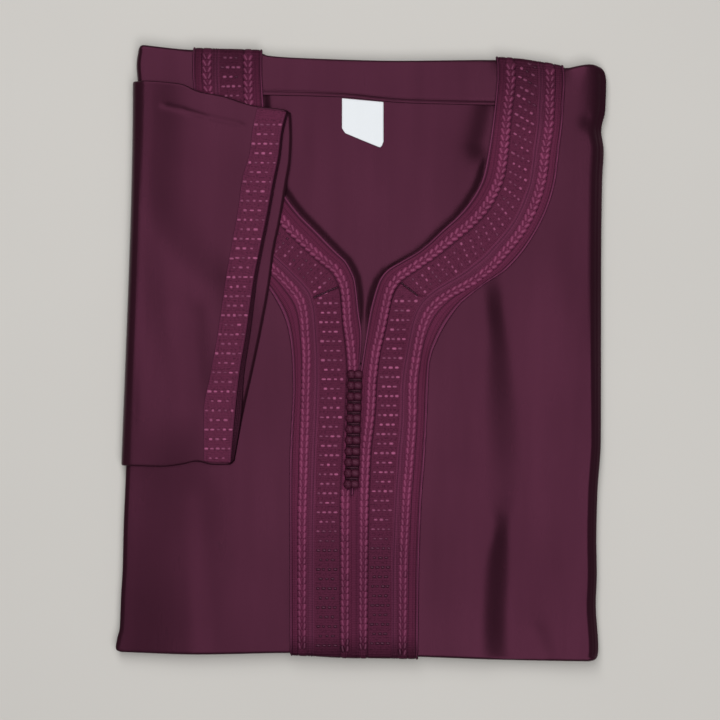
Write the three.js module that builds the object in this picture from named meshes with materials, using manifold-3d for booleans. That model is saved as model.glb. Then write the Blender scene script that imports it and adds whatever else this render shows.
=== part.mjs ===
// A gandoura folded flat: the chest lies up, the lower part and the sides are folded behind it,
// and one short sleeve is brought round the left side edge and laid over the front.
// Millimetres, +Z up. X runs across the packet and Y from the hem fold up to the shoulders.
// The origin is under the middle of the packet, on the surface that it lies on.
import * as THREE from "three";
import { mergeVertices } from "three/addons/utils/BufferGeometryUtils.js";
import Module from "manifold-3d";

const wasm = await Module();
wasm.setup();

// Driving sizes of the packet
const PACKET_WIDTH = 386;
const PACKET_LENGTH = 484;
const FRONT_TOP = 17;
const RIM_HEIGHT = 5.2;
const RIM_WIDTH = { left: 4.2, right: 9.6, top: 5, bottom: 4.5 };
const RIM_ANGLES = [90, 66, 43, 21];
const SKIRT_DEPTHS = [0.7, 1.4];
const SKIRT_TUCK = 0.8;
const CORNER_ROUNDING = 0.8;

// Cloth walls, with the gap that is left between two pieces
const SEAM_GAP = 0.3;
const FRONT_WALL = 1.2;
const BACK_WALL = 1;
const FACING_WALL = 1;
const LABEL_WALL = 1;
const SLEEVE_WALL = 1;
const BAND_WALL = 1;
const CUFF_WALL = 1;

// Depths below the outer face of the front panel
const BACK_FACE = -(FRONT_WALL + SEAM_GAP);
const CORE_FACE = BACK_FACE - BACK_WALL - SEAM_GAP;
const CORE_SIDE_FACE = BACK_FACE - 0.1;

// Outline of the packet, seen from above
const LEFT_EDGE = [
  { x: -195.2, y: -239.6 },
  { x: -196.8, y: -237.6 },
  { x: -195.2, y: -227.2 },
  { x: -193.6, y: -221.6 },
  { x: -192.4, y: -193.6 },
  { x: -191.2, y: -173.6 },
  { x: -190.4, y: -141.6 },
  { x: -188.4, y: -91.2 },
  { x: -179.2, y: 218.4 },
  { x: -180, y: 230.4 },
  { x: -177.6, y: 247.2 },
];
const RIGHT_EDGE = [
  { x: 188.8, y: -247.2 },
  { x: 190.4, y: -237.6 },
  { x: 188.4, y: -201.6 },
  { x: 189.2, y: -177.6 },
  { x: 188.8, y: -149.6 },
  { x: 189.6, y: -113.6 },
  { x: 192.4, y: -69.6 },
  { x: 192.8, y: 78.4 },
  { x: 193.6, y: 138.4 },
  { x: 194.8, y: 162.4 },
  { x: 192.8, y: 178.4 },
  { x: 196, y: 194.4 },
  { x: 196.8, y: 218.4 },
  { x: 194.4, y: 229.6 },
];
const TOP_EDGE = [
  { x: -177.6, y: 247.2 },
  { x: -136.8, y: 243 },
  { x: -80.5, y: 241.2 },
  { x: -75, y: 239.2 },
  { x: -48.8, y: 237.2 },
  { x: 31.2, y: 235 },
  { x: 106, y: 235.6 },
  { x: 123, y: 234.8 },
  { x: 147, y: 231.4 },
  { x: 165, y: 228.5 },
  { x: 175, y: 230.4 },
  { x: 183, y: 231.4 },
  { x: 194.4, y: 229.6 },
];
const BOTTOM_EDGE = [
  { x: -195.2, y: -239.6 },
  { x: -128.8, y: -241.6 },
  { x: -60.8, y: -240.4 },
  { x: -12.8, y: -242.6 },
  { x: 46, y: -243.4 },
  { x: 63.2, y: -244 },
  { x: 119.2, y: -246 },
  { x: 188.8, y: -247.2 },
];

// Where the cloth is modelled across and along the packet, between its rounded rims
const COLUMNS = [
  -170, -150, -136, -108, -80, -60, -30, 0, 30, 60, 80, 92, 101, 109, 117, 127, 147, 165,
];
const ROWS = [-225, -200, -172, -145, -115, -85, -45, 0, 45, 85, 120, 150, 180, 205, 222];

// The long soft crease that runs down to the hem fold on the right
const CREASE = [
  { y: -230, x: 107, depth: 0.9, reach: 9 },
  { y: -200, x: 105.5, depth: 1.3, reach: 10 },
  { y: -166, x: 108.5, depth: 1.5, reach: 9 },
  { y: -134, x: 111, depth: 1.2, reach: 7 },
  { y: -100, x: 111, depth: 0.4, reach: 6 },
  { y: -70, x: 111, depth: 0, reach: 6 },
];

// The hidden folds below the front: the lower third, the middle third, and the grooves between
const FOLD_RINGS = [
  { z: 0, inset: 3.4 },
  { z: 1.6, inset: 1.4 },
  { z: 3.6, inset: 1.3 },
  { z: 5.2, inset: 4 },
  { z: 6.8, inset: 1.4 },
  { z: 8.6, inset: 1.3 },
  { z: 10.1, inset: 4.6 },
];

// Sections across each half of the neck band, from its neck edge to its outer edge
const RIGHT_BAND = [
  { inX: 108.8, inY: 218, outX: 163.2, outY: 214 },
  { inX: 106.6, inY: 195.2, outX: 161.6, outY: 188 },
  { inX: 102.4, inY: 164.8, outX: 158.6, outY: 162 },
  { inX: 97.6, inY: 141, outX: 155.6, outY: 137.6 },
  { inX: 93.5, inY: 131.2, outX: 148.8, outY: 115 },
  { inX: 85.2, inY: 118.4, outX: 132.8, outY: 85.6 },
  { inX: 76.8, inY: 108.8, outX: 116, outY: 66.4 },
  { inX: 64.4, inY: 97.6, outX: 99.2, outY: 55.2 },
  { inX: 54.4, inY: 88, outX: 88.8, outY: 47.2 },
  { inX: 44.8, inY: 80.4, outX: 80.8, outY: 40.4 },
  { inX: 32.5, inY: 73.4, outX: 72.8, outY: 30.4 },
  { inX: 21, inY: 66.4, outX: 65.6, outY: 19 },
  { inX: 15.2, inY: 59.2, outX: 60.6, outY: 9 },
  { inX: 11.8, inY: 50.4, outX: 56.8, outY: -0.8 },
  { inX: 7.5, inY: 34.4, outX: 54.8, outY: -10 },
  { inX: 4, inY: 13.6, outX: 54.2, outY: -20 },
  { inX: 0.8, inY: -7.2, outX: 53.8, outY: -30 },
  { inX: -1.6, inY: -23.2, outX: 53.4, outY: -40 },
  { inX: -2.8, inY: -47.2, outX: 52.6, outY: -58 },
  { inX: -6.4, inY: -77.6, outX: 51.2, outY: -84 },
  { inX: -7.2, inY: -117.6, outX: 48.4, outY: -121.6 },
  { inX: -7.2, inY: -175, outX: 46.6, outY: -175 },
  { inX: -7.2, inY: -236, outX: 45.8, outY: -236 },
];
const LEFT_BAND = [
  { inX: -79.2, inY: 222.4, outX: -134.8, outY: 222.4 },
  { inX: -77.6, inY: 195.2, outX: -132.4, outY: 192 },
  { inX: -72.8, inY: 164.8, outX: -129.2, outY: 162 },
  { inX: -68, inY: 141, outX: -126, outY: 137.6 },
  { inX: -64, inY: 131.2, outX: -119.2, outY: 115 },
  { inX: -56, inY: 119.2, outX: -104, outY: 85.6 },
  { inX: -48.8, inY: 110.4, outX: -88.8, outY: 66.4 },
  { inX: -35.2, inY: 96.8, outX: -74.8, outY: 52.6 },
  { inX: -25.6, inY: 86.8, outX: -67.6, outY: 41.2 },
  { inX: -19.2, inY: 80.4, outX: -64.4, outY: 35.2 },
  { inX: -12, inY: 73.4, outX: -61.6, outY: 28.8 },
  { inX: -8, inY: 66.4, outX: -59.2, outY: 21.6 },
  { inX: -5, inY: 59.2, outX: -57.6, outY: 14.4 },
  { inX: -3.6, inY: 50.4, outX: -56.2, outY: 5.6 },
  { inX: -1.9, inY: 34.4, outX: -55.2, outY: -6 },
  { inX: 0.6, inY: 13.6, outX: -54.8, outY: -17 },
  { inX: -0.8, inY: -7.2, outX: -54.5, outY: -29.6 },
  { inX: -2.4, inY: -23.2, outX: -55, outY: -40 },
  { inX: -3.6, inY: -47.2, outX: -55.8, outY: -54 },
  { inX: -7.1, inY: -77.6, outX: -57, outY: -82.4 },
  { inX: -7.8, inY: -117.6, outX: -57.3, outY: -121.6 },
  { inX: -7.8, inY: -175, outX: -57, outY: -175 },
  { inX: -7.8, inY: -236, outX: -56.8, outY: -236 },
];

// How far each line of braid and cord stands above the band, across its width
const BAND_RELIEF = [
  { share: 0, rise: 0.4 },
  { share: 0.03, rise: 0.9 },
  { share: 0.09, rise: 0.9 },
  { share: 0.11, rise: 0.2 },
  { share: 0.13, rise: 0.8 },
  { share: 0.21, rise: 0.8 },
  { share: 0.24, rise: 0 },
  { share: 0.63, rise: 0 },
  { share: 0.65, rise: 0.4 },
  { share: 0.68, rise: 0 },
  { share: 0.74, rise: 0.2 },
  { share: 0.77, rise: 0.8 },
  { share: 0.86, rise: 0.8 },
  { share: 0.89, rise: 0.1 },
  { share: 0.96, rise: 0.2 },
  { share: 0.98, rise: 0.8 },
  { share: 1, rise: 0.5 },
];
const CUFF_RELIEF = [
  { share: 0, rise: 0.3 },
  { share: 0.04, rise: 0.7 },
  { share: 0.12, rise: 0.7 },
  { share: 0.16, rise: 0 },
  { share: 0.84, rise: 0 },
  { share: 0.88, rise: 0.7 },
  { share: 0.96, rise: 0.7 },
  { share: 1, rise: 0.3 },
];
const BAND_TOP_RISE = 0.9;

// Lower edge of the facing inside the back neck
const FACING_SEAM = [
  { x: -81, y: 206.4 },
  { x: -16.8, y: 204.8 },
  { x: 31.2, y: 200.4 },
  { x: 63.2, y: 199.2 },
  { x: 110, y: 198.4 },
];
const FACING_END = 1.1;
const FACING_SHOULDER_Y = 226;

// Corners of the label that hangs from the facing seam
const LABEL_CORNERS = [
  { x: -15.2, y: 203.8 },
  { x: -15.2, y: 180 },
  { x: -12.8, y: 176 },
  { x: 15.2, y: 164.4 },
  { x: 17.6, y: 168 },
  { x: 18, y: 200.8 },
];

// The sleeve on the front: its cuff band, its cuff edge and the edge of its lower layer
const SLEEVE = [
  { y: 192, band: -82.6, cuff: -59.2, rear: -56 },
  { y: 172.8, band: -86.6, cuff: -63.8, rear: -55.4 },
  { y: 154.4, band: -88.8, cuff: -66, rear: -56.2 },
  { y: 133.6, band: -94.4, cuff: -70.2, rear: -59.2 },
  { y: 100.8, band: -99.2, cuff: -76.4, rear: -64.8 },
  { y: 80, band: -103.2, cuff: -80.8, rear: -69.2 },
  { y: 56, band: -107.6, cuff: -85.6, rear: -72.4 },
  { y: 12, band: -114.4, cuff: -92, rear: -80.4 },
  { y: -18.4, band: -120, cuff: -97.2, rear: -86.8 },
  { y: -48.8, band: -125.6, cuff: -100.8, rear: -93.6 },
  { y: -88, band: -125.4, cuff: -104.4, rear: -101 },
];
const SLEEVE_UPPER_FOLD = [
  { x: -184, y: 216 },
  { x: -176.8, y: 217.8 },
  { x: -144.8, y: 215.2 },
  { x: -128.8, y: 208.8 },
  { x: -112, y: 205.6 },
  { x: -84, y: 197.2 },
  { x: -60.8, y: 194.4 },
  { x: -56, y: 191.6 },
];
const SLEEVE_LOWER_FOLD = [
  { x: -193, y: -90 },
  { x: -160, y: -91 },
  { x: -144.8, y: -89.4 },
  { x: -131.2, y: -86.8 },
  { x: -118.4, y: -89.4 },
  { x: -104.8, y: -89.4 },
  { x: -101, y: -86.4 },
];
const SLEEVE_THICKNESS = 3.4;
const SLEEVE_REST = 0.4;
const SLEEVE_CROSS_STEPS = 15;
const SLEEVE_PLAIN_STEPS = 5;
const SLEEVE_TOP_Y = 192;
const SLEEVE_BOTTOM_Y = -88;
// The sleeve rises over the neck band: how high, how far ahead, and how soon it is up
const SLEEVE_CLIMB = { height: 2.5, start: 56, end: 4 };

// Cloth knots and loops that close the front slit
const KNOT_COUNT = 11;
const KNOT_FIRST_Y = -17.2;
const KNOT_LAST_Y = -104.8;
const KNOT_HALF = { x: 3.2, y: 4, z: 3 };
const LOOP_HALF = { x: 2.3, y: 3.8, z: 2.4 };
const KNOT_CENTRE_X = { first: -7.6, last: -10.4 };
const LOOP_CENTRE_X = { first: -1.7, last: -4.5 };

// Colours of the satin, its silk trim and the label
const SATIN = { color: 0x52273a, roughness: 0.5, metalness: 0 };
const TRIM = { color: 0x622745, roughness: 0.55, metalness: 0 };
const KNOT_CLOTH = { color: 0x401a2c, roughness: 0.6, metalness: 0 };
const LABEL_CLOTH = { color: 0xeef4f5, roughness: 0.8, metalness: 0 };

const lerp = THREE.MathUtils.lerp;
const radians = THREE.MathUtils.degToRad;

// The value of one column of a table at a place between its rows
function lookUp(table, key, value, at) {
  const rows = table[0][key] < table[table.length - 1][key] ? table : [...table].reverse();
  if (at <= rows[0][key]) return rows[0][value];
  for (let i = 1; i < rows.length; i++) {
    if (at > rows[i][key]) continue;
    const share = (at - rows[i - 1][key]) / (rows[i][key] - rows[i - 1][key]);
    return lerp(rows[i - 1][value], rows[i][value], share);
  }
  return rows[rows.length - 1][value];
}

const LEFT_TOP = LEFT_EDGE[LEFT_EDGE.length - 1];
const RIGHT_TOP = RIGHT_EDGE[RIGHT_EDGE.length - 1];
const LEFT_BOTTOM = LEFT_EDGE[0];
const RIGHT_BOTTOM = RIGHT_EDGE[0];

// Shares across and along at which the cloth has a line of points
function gridLines(places, from, to, size, lowRim, highRim) {
  const low = RIM_ANGLES.map((a) => (lowRim * (1 - Math.sin(radians(a)))) / size);
  const high = RIM_ANGLES.map((a) => 1 - (highRim * (1 - Math.sin(radians(a)))) / size);
  const inner = places.map((p) => (p - from) / (to - from));
  return [...low, lowRim / size, ...inner, 1 - highRim / size, ...high.reverse()];
}
const ACROSS = gridLines(
  COLUMNS, -186.4, 191.6, PACKET_WIDTH, RIM_WIDTH.left, RIM_WIDTH.right,
);
const ALONG = gridLines(
  ROWS, -243.4, 238.4, PACKET_LENGTH, RIM_WIDTH.bottom, RIM_WIDTH.top,
);
const RIM_STEPS = RIM_ANGLES.length;
const LAST_COLUMN = ACROSS.length - 1;
const LAST_ROW = ALONG.length - 1;

// Each edge is straight between the lines of points, so pieces laid on the cloth follow it closely
function edgeAt(table, key, value, lines, from, to) {
  const points = lines.map((s) => ({ s, v: lookUp(table, key, value, lerp(from, to, s)) }));
  return (s) => lookUp(points, "s", "v", s);
}
const leftX = edgeAt(LEFT_EDGE, "y", "x", ALONG, LEFT_BOTTOM.y, LEFT_TOP.y);
const rightX = edgeAt(RIGHT_EDGE, "y", "x", ALONG, RIGHT_BOTTOM.y, RIGHT_TOP.y);
const bottomY = edgeAt(BOTTOM_EDGE, "x", "y", ACROSS, LEFT_BOTTOM.x, RIGHT_BOTTOM.x);
const topY = edgeAt(TOP_EDGE, "x", "y", ACROSS, LEFT_TOP.x, RIGHT_TOP.x);

function creaseDepth(x, y) {
  const depth = lookUp(CREASE, "y", "depth", y);
  const off = (x - lookUp(CREASE, "y", "x", y)) / lookUp(CREASE, "y", "reach", y);
  return depth * Math.exp(-off * off);
}

// A point of the front cloth's outer face, moved out by lift, and down the side by skirt
function clothPoint(across, along, lift, skirt = 0) {
  const rimX = across < 0.5 ? RIM_WIDTH.left : RIM_WIDTH.right;
  const rimY = along < 0.5 ? RIM_WIDTH.bottom : RIM_WIDTH.top;
  const leanX = Math.max(0, 1 - (Math.min(across, 1 - across) * PACKET_WIDTH) / rimX);
  const leanY = Math.max(0, 1 - (Math.min(along, 1 - along) * PACKET_LENGTH) / rimY);
  const lean = Math.min(1, Math.max(leanX, leanY));
  let partX = leanX;
  let partY = leanY;
  let u = across;
  let v = along;
  if (leanX > 0 && leanY > 0) {
    const quarter = Math.PI / 4;
    const turn = leanX >= leanY ? (leanY / leanX) * quarter : (2 - leanX / leanY) * quarter;
    partX = lerp(leanX, lean * Math.cos(turn), CORNER_ROUNDING);
    partY = lerp(leanY, lean * Math.sin(turn), CORNER_ROUNDING);
    const inX = (rimX * (1 - partX)) / PACKET_WIDTH;
    const inY = (rimY * (1 - partY)) / PACKET_LENGTH;
    u = across < 0.5 ? inX : 1 - inX;
    v = along < 0.5 ? inY : 1 - inY;
  }
  const rise = Math.sqrt(1 - lean * lean);
  const tuck = SKIRT_TUCK * (skirt / SKIRT_DEPTHS[SKIRT_DEPTHS.length - 1]) ** 2;
  const length = Math.hypot(partX, partY) || 1;
  const outward = (lift * lean - tuck) / length;
  const x = lerp(leftX(v), rightX(v), u);
  const y = lerp(bottomY(u), topY(u), v);
  return new THREE.Vector3(
    x + (across < 0.5 ? -1 : 1) * partX * outward,
    y + (along < 0.5 ? -1 : 1) * partY * outward,
    FRONT_TOP - RIM_HEIGHT * (1 - rise) + lift * rise - skirt - creaseDepth(x, y) * rise,
  );
}

// The shares across and along of a place seen from above
function sharesAt(x, y) {
  let across = 0.5;
  let along = 0.5;
  for (let i = 0; i < 12; i++) {
    across = (x - leftX(along)) / (rightX(along) - leftX(along));
    along = (y - bottomY(across)) / (topY(across) - bottomY(across));
  }
  return { across, along };
}

function onCloth(x, y, lift) {
  const { across, along } = sharesAt(x, y);
  return clothPoint(across, along, lift);
}

// A body collects points and faces, and turns its faces outwards when it is closed
class Body {
  constructor() {
    this.points = [];
    this.faces = [];
  }
  add(point) {
    this.points.push(point);
    return this.points.length - 1;
  }
  quad(a, b, c, d) {
    this.faces.push([a, b, c], [a, c, d]);
  }
  // Joins two lines of points with a strip of faces
  strip(a, b, closed = false) {
    const last = closed ? a.length : a.length - 1;
    for (let i = 0; i < last; i++) {
      const j = (i + 1) % a.length;
      this.quad(a[i], a[j], b[j], b[i]);
    }
  }
  // Fills a ring whose flat shape is given, turned to face the other way if asked
  cap(ring, shape, reverse = false) {
    const faces = THREE.ShapeUtils.triangulateShape(shape, []);
    for (const [a, b, c] of faces) {
      this.faces.push(reverse ? [ring[c], ring[b], ring[a]] : [ring[a], ring[b], ring[c]]);
    }
  }
  geometry() {
    const p = this.points;
    const volume = this.faces.reduce(
      (sum, [a, b, c]) => sum + p[a].dot(new THREE.Vector3().crossVectors(p[b], p[c])), 0,
    );
    const faces = volume < 0 ? this.faces.map(([a, b, c]) => [a, c, b]) : this.faces;
    const geometry = new THREE.BufferGeometry();
    geometry.setAttribute(
      "position", new THREE.Float32BufferAttribute(p.flatMap((q) => q.toArray()), 3),
    );
    geometry.setIndex(faces.flat());
    return geometry;
  }
}

// The edge of a grid of points, as one loop
function borderOf(grid) {
  const rows = grid.length;
  const columns = grid[0].length;
  const loop = [];
  for (let i = 0; i < columns; i++) loop.push(grid[0][i]);
  for (let j = 1; j < rows; j++) loop.push(grid[j][columns - 1]);
  for (let i = columns - 2; i >= 0; i--) loop.push(grid[rows - 1][i]);
  for (let j = rows - 2; j > 0; j--) loop.push(grid[j][0]);
  return loop;
}

// Points of one face of a cloth wall over a stretch of the packet
function clothGrid(body, columns, rows, lift) {
  return rows.map((v) => columns.map((u) => body.add(clothPoint(u, v, lift(u, v)))));
}

function gridFaces(body, grid, reverse) {
  for (let j = 1; j < grid.length; j++) {
    const low = grid[j - 1];
    const high = grid[j];
    if (reverse) body.strip(high, low);
    else body.strip(low, high);
  }
}

// The places round the whole border, in the order of borderOf
function borderShares() {
  const places = ALONG.map((v) => ACROSS.map((u) => ({ u, v })));
  return borderOf(places);
}

// The front: a wall over the whole packet that turns down over all four edges
function frontPanelWall() {
  const body = new Body();
  const outer = clothGrid(body, ACROSS, ALONG, () => 0);
  const inner = clothGrid(body, ACROSS, ALONG, () => -FRONT_WALL);
  gridFaces(body, outer, false);
  gridFaces(body, inner, true);
  const shares = borderShares();
  const side = (grid, lift) => [
    borderOf(grid),
    ...SKIRT_DEPTHS.map((depth) =>
      shares.map(({ u, v }) => body.add(clothPoint(u, v, lift, depth))),
    ),
  ];
  const outside = side(outer, 0);
  const inside = side(inner, -FRONT_WALL);
  for (let k = 1; k < outside.length; k++) {
    body.strip(outside[k], outside[k - 1], true);
    body.strip(inside[k - 1], inside[k], true);
  }
  body.strip(inside[inside.length - 1], outside[outside.length - 1], true);
  return body.geometry();
}

function toManifold(geometry) {
  const merged = mergeVertices(geometry);
  const vertProperties = Float32Array.from(merged.attributes.position.array);
  const triVerts = Uint32Array.from(merged.index.array);
  return new wasm.Manifold(new wasm.Mesh({ numProp: 3, vertProperties, triVerts }));
}

function fromManifold(solid) {
  const mesh = solid.getMesh();
  const geometry = new THREE.BufferGeometry();
  geometry.setAttribute("position", new THREE.BufferAttribute(mesh.vertProperties, 3));
  geometry.setIndex(new THREE.BufferAttribute(mesh.triVerts, 1));
  return geometry;
}

// The neck and the front slit, cut just outside the neck edges of the two bands
const NECK_CUT_MARGIN = 1.6;
const NECK_CUT_TOP = 260;
const SLIT_END_Y = -12;
function neckCutEdge(sections) {
  return sections
    .filter((s) => s.inY > SLIT_END_Y)
    .map((s) => {
      const out = new THREE.Vector2(s.outX - s.inX, s.outY - s.inY).setLength(NECK_CUT_MARGIN);
      return new THREE.Vector2(s.inX + out.x, s.inY + out.y);
    });
}

function frontPanel() {
  const right = neckCutEdge(RIGHT_BAND);
  const left = neckCutEdge(LEFT_BAND);
  right.unshift(new THREE.Vector2(right[0].x, NECK_CUT_TOP));
  left.unshift(new THREE.Vector2(left[0].x, NECK_CUT_TOP));
  const neck = new THREE.Shape([...right, ...left.reverse()]);
  const prism = new THREE.ExtrudeGeometry(neck, { depth: 60, bevelEnabled: false });
  prism.deleteAttribute("normal");
  prism.deleteAttribute("uv");
  return fromManifold(toManifold(frontPanelWall()).subtract(toManifold(prism)));
}

// The hidden folds: a rounded solid with the lower and middle thirds layered at its edges
function foldedLayers() {
  const body = new Body();
  const deep = (u, v) => {
    const inside = u > ACROSS[RIM_STEPS - 1] && u < ACROSS[LAST_COLUMN - RIM_STEPS + 1];
    return inside && v > ALONG[RIM_STEPS - 1] ? CORE_FACE : CORE_SIDE_FACE;
  };
  const top = clothGrid(body, ACROSS, ALONG, deep);
  gridFaces(body, top, false);
  const shares = borderShares();
  const rings = [...FOLD_RINGS].reverse().map(({ z, inset }) =>
    shares.map(({ u, v }) => {
      const point = clothPoint(u, v, -inset);
      return body.add(point.setZ(z));
    }),
  );
  let above = borderOf(top);
  for (const ring of rings) {
    body.strip(ring, above, true);
    above = ring;
  }
  const outline = above.map((i) => new THREE.Vector2(body.points[i].x, body.points[i].y));
  body.cap(above, outline, true);
  return body.geometry();
}

// The back, seen through the neck: it turns over the back neck edge and lies flat below
function backPanel() {
  const body = new Body();
  const columns = ACROSS.slice(RIM_STEPS, LAST_COLUMN - RIM_STEPS + 1);
  const rows = ALONG.slice(RIM_STEPS);
  const face = (lift) => {
    const grid = clothGrid(body, columns, rows, () => lift);
    const turned = columns.map((u) => body.add(clothPoint(u, 1, lift, SKIRT_DEPTHS[0])));
    return [...grid, turned];
  };
  const outer = face(BACK_FACE);
  const inner = face(BACK_FACE - BACK_WALL);
  gridFaces(body, outer, false);
  gridFaces(body, inner, true);
  body.strip(borderOf(inner), borderOf(outer), true);
  return body.geometry();
}

// The facing lies on the back panel, turned over the back neck edge
function backNeckFacing() {
  const body = new Body();
  const low = BACK_FACE + SEAM_GAP;
  const rimRows = ALONG.slice(LAST_ROW - RIM_STEPS);
  const between = COLUMNS.filter((x) => x > -75 && x < 105);
  const seamLeftY = FACING_SEAM[0].y;
  const seamRightY = FACING_SEAM[FACING_SEAM.length - 1].y;
  const columnsAt = (up) => [
    lookUp(LEFT_BAND, "inY", "inX", lerp(seamLeftY, FACING_SHOULDER_Y, up)) - FACING_END,
    ...between,
    lookUp(RIGHT_BAND, "inY", "inX", lerp(seamRightY, FACING_SHOULDER_Y, up)) + FACING_END,
  ];
  const face = (lift) => {
    const flat = [0, 1].map((step) =>
      columnsAt(step).map((x) => {
        const y = lerp(lookUp(FACING_SEAM, "x", "y", x), FACING_SHOULDER_Y, step);
        return body.add(onCloth(x, y, lift));
      }),
    );
    const shoulder = columnsAt(1).map((x) => sharesAt(x, FACING_SHOULDER_Y).across);
    const turned = rimRows.map((v) => shoulder.map((u) => body.add(clothPoint(u, v, lift))));
    const skirt = shoulder.map((u) => body.add(clothPoint(u, 1, lift, SKIRT_DEPTHS[0])));
    return [...flat, ...turned, skirt];
  };
  const outer = face(low + FACING_WALL);
  const inner = face(low);
  gridFaces(body, outer, false);
  gridFaces(body, inner, true);
  body.strip(borderOf(inner), borderOf(outer), true);
  return body.geometry();
}

function sizeLabel() {
  const body = new Body();
  const low = BACK_FACE + SEAM_GAP;
  const face = (lift) => LABEL_CORNERS.map(({ x, y }) => body.add(onCloth(x, y, lift)));
  const outline = LABEL_CORNERS.map(({ x, y }) => new THREE.Vector2(x, y));
  const inner = face(low);
  const outer = face(low + LABEL_WALL);
  body.cap(outer, outline);
  body.cap(inner, outline, true);
  body.strip(inner, outer, true);
  return body.geometry();
}

// A band from closed sections: raised points above, plain points below
function bandBody(sections, relief, plainShares, point, floor, wall) {
  const body = new Body();
  const rings = sections.map((section) => [
    ...relief.map(({ share, rise }) => body.add(point(section, share, floor + wall + rise))),
    ...plainShares.map((share) => body.add(point(section, share, floor))),
  ]);
  for (let i = 1; i < rings.length; i++) body.strip(rings[i - 1], rings[i], true);
  const shape = [
    ...relief.map(({ share, rise }) => new THREE.Vector2(share * 50, wall + rise)),
    ...plainShares.map((share) => new THREE.Vector2(share * 50, 0)),
  ];
  body.cap(rings[0], shape);
  body.cap(rings[rings.length - 1], shape, true);
  return body.geometry();
}

// One half of the neck band, turned down over the shoulder and over the hem fold
function neckBand(table) {
  const rimAlong = (rows) => rows.map((along) => ({ along, skirt: 0 }));
  const skirts = SKIRT_DEPTHS.map((skirt) => ({ skirt }));
  const shoulder = [
    ...[...skirts].reverse().map((s) => ({ ...s, along: 1, end: table[0] })),
    ...rimAlong(ALONG.slice(LAST_ROW - RIM_STEPS).reverse()).map((s) => ({
      ...s, end: table[0],
    })),
  ];
  const last = table[table.length - 1];
  const hem = [
    ...rimAlong(ALONG.slice(0, RIM_STEPS + 1).reverse()).map((s) => ({ ...s, end: last })),
    ...skirts.map((s) => ({ ...s, along: 0, end: last })),
  ];
  const point = (section, share, lift) => {
    if (section.end) {
      const x = lerp(section.end.inX, section.end.outX, share);
      const y = lerp(section.end.inY, section.end.outY, share);
      return clothPoint(sharesAt(x, y).across, section.along, lift, section.skirt);
    }
    const x = lerp(section.inX, section.outX, share);
    return onCloth(x, lerp(section.inY, section.outY, share), lift);
  };
  const plain = [1, 0.66, 0.33, 0];
  return bandBody([...shoulder, ...table, ...hem], BAND_RELIEF, plain, point, SEAM_GAP, BAND_WALL);
}

// How far the sleeve stands off the front where it climbs over the neck band
function sleeveClimb(x, y) {
  const bandEdge = lookUp(LEFT_BAND, "outY", "outX", y);
  const { height, start, end } = SLEEVE_CLIMB;
  return height * THREE.MathUtils.smoothstep(x, bandEdge - start, bandEdge - end);
}

// Stops along the sleeve, from behind the left edge to the cuff
function sleeveStops() {
  const rim = RIM_WIDTH.left / PACKET_WIDTH;
  const wrap = [
    { across: 0, skirt: SKIRT_DEPTHS[1] },
    { across: 0, skirt: SKIRT_DEPTHS[0] },
    ...ACROSS.slice(0, RIM_STEPS).map((across) => ({ across, skirt: 0 })),
  ];
  const plain = [];
  for (let i = 0; i < SLEEVE_PLAIN_STEPS; i++) plain.push({ start: rim, plain: i / SLEEVE_PLAIN_STEPS });
  const cuff = [0, 0.5, 1].map((share) => ({ cuff: share }));
  return [...wrap, ...plain, ...cuff];
}

// A point of the sleeve: down runs from its lower fold to its upper, height through its layers
function sleevePoint(stop, down, height) {
  const y = lerp(SLEEVE_BOTTOM_Y, SLEEVE_TOP_Y, down);
  const level = height / SLEEVE_THICKNESS;
  const band = lookUp(SLEEVE, "y", "band", y);
  const cuff = lookUp(SLEEVE, "y", "cuff", y);
  const rear = lookUp(SLEEVE, "y", "rear", y);
  const end = lerp(rear, cuff, THREE.MathUtils.smoothstep(level, 0.3, 0.7));
  const folds = (x) => ({
    low: lookUp(SLEEVE_LOWER_FOLD, "x", "y", x),
    high: lookUp(SLEEVE_UPPER_FOLD, "x", "y", x),
  });
  const place = (x) => lerp(folds(x).low, folds(x).high, down);
  const lift = SLEEVE_REST + height;
  if (stop.start === undefined && stop.cuff === undefined) {
    const edge = leftX(sharesAt(-180, y).along);
    const { along } = sharesAt(edge, place(edge));
    return clothPoint(stop.across, along, lift, stop.skirt);
  }
  const from = leftX(sharesAt(-180, y).along) + RIM_WIDTH.left;
  const x = stop.cuff === undefined
    ? lerp(from, end - (cuff - band), stop.plain)
    : lerp(end - (cuff - band), end, stop.cuff);
  const atY = place(x);
  return onCloth(x, atY, lift + sleeveClimb(x, atY));
}

// Places round the flattened tube, inset by the wall for the inner face
function sleeveLoop(inset) {
  const span = SLEEVE_TOP_Y - SLEEVE_BOTTOM_Y;
  const half = SLEEVE_THICKNESS / 2;
  const round = half / span;
  const loop = [];
  for (let i = 0; i <= SLEEVE_CROSS_STEPS; i++) {
    loop.push({ down: lerp(round, 1 - round, i / SLEEVE_CROSS_STEPS), height: 2 * half - inset });
  }
  const turn = (from, centre) => {
    for (const angle of [45, 90, 135]) {
      const a = radians(from + angle);
      const reach = (half - inset) / half;
      loop.push({
        down: centre + round * reach * Math.sin(a),
        height: half + (half - inset) * Math.cos(a),
      });
    }
  };
  turn(0, 1 - round);
  for (let i = SLEEVE_CROSS_STEPS; i >= 0; i--) {
    loop.push({ down: lerp(round, 1 - round, i / SLEEVE_CROSS_STEPS), height: inset });
  }
  turn(180, round);
  return loop;
}

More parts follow.
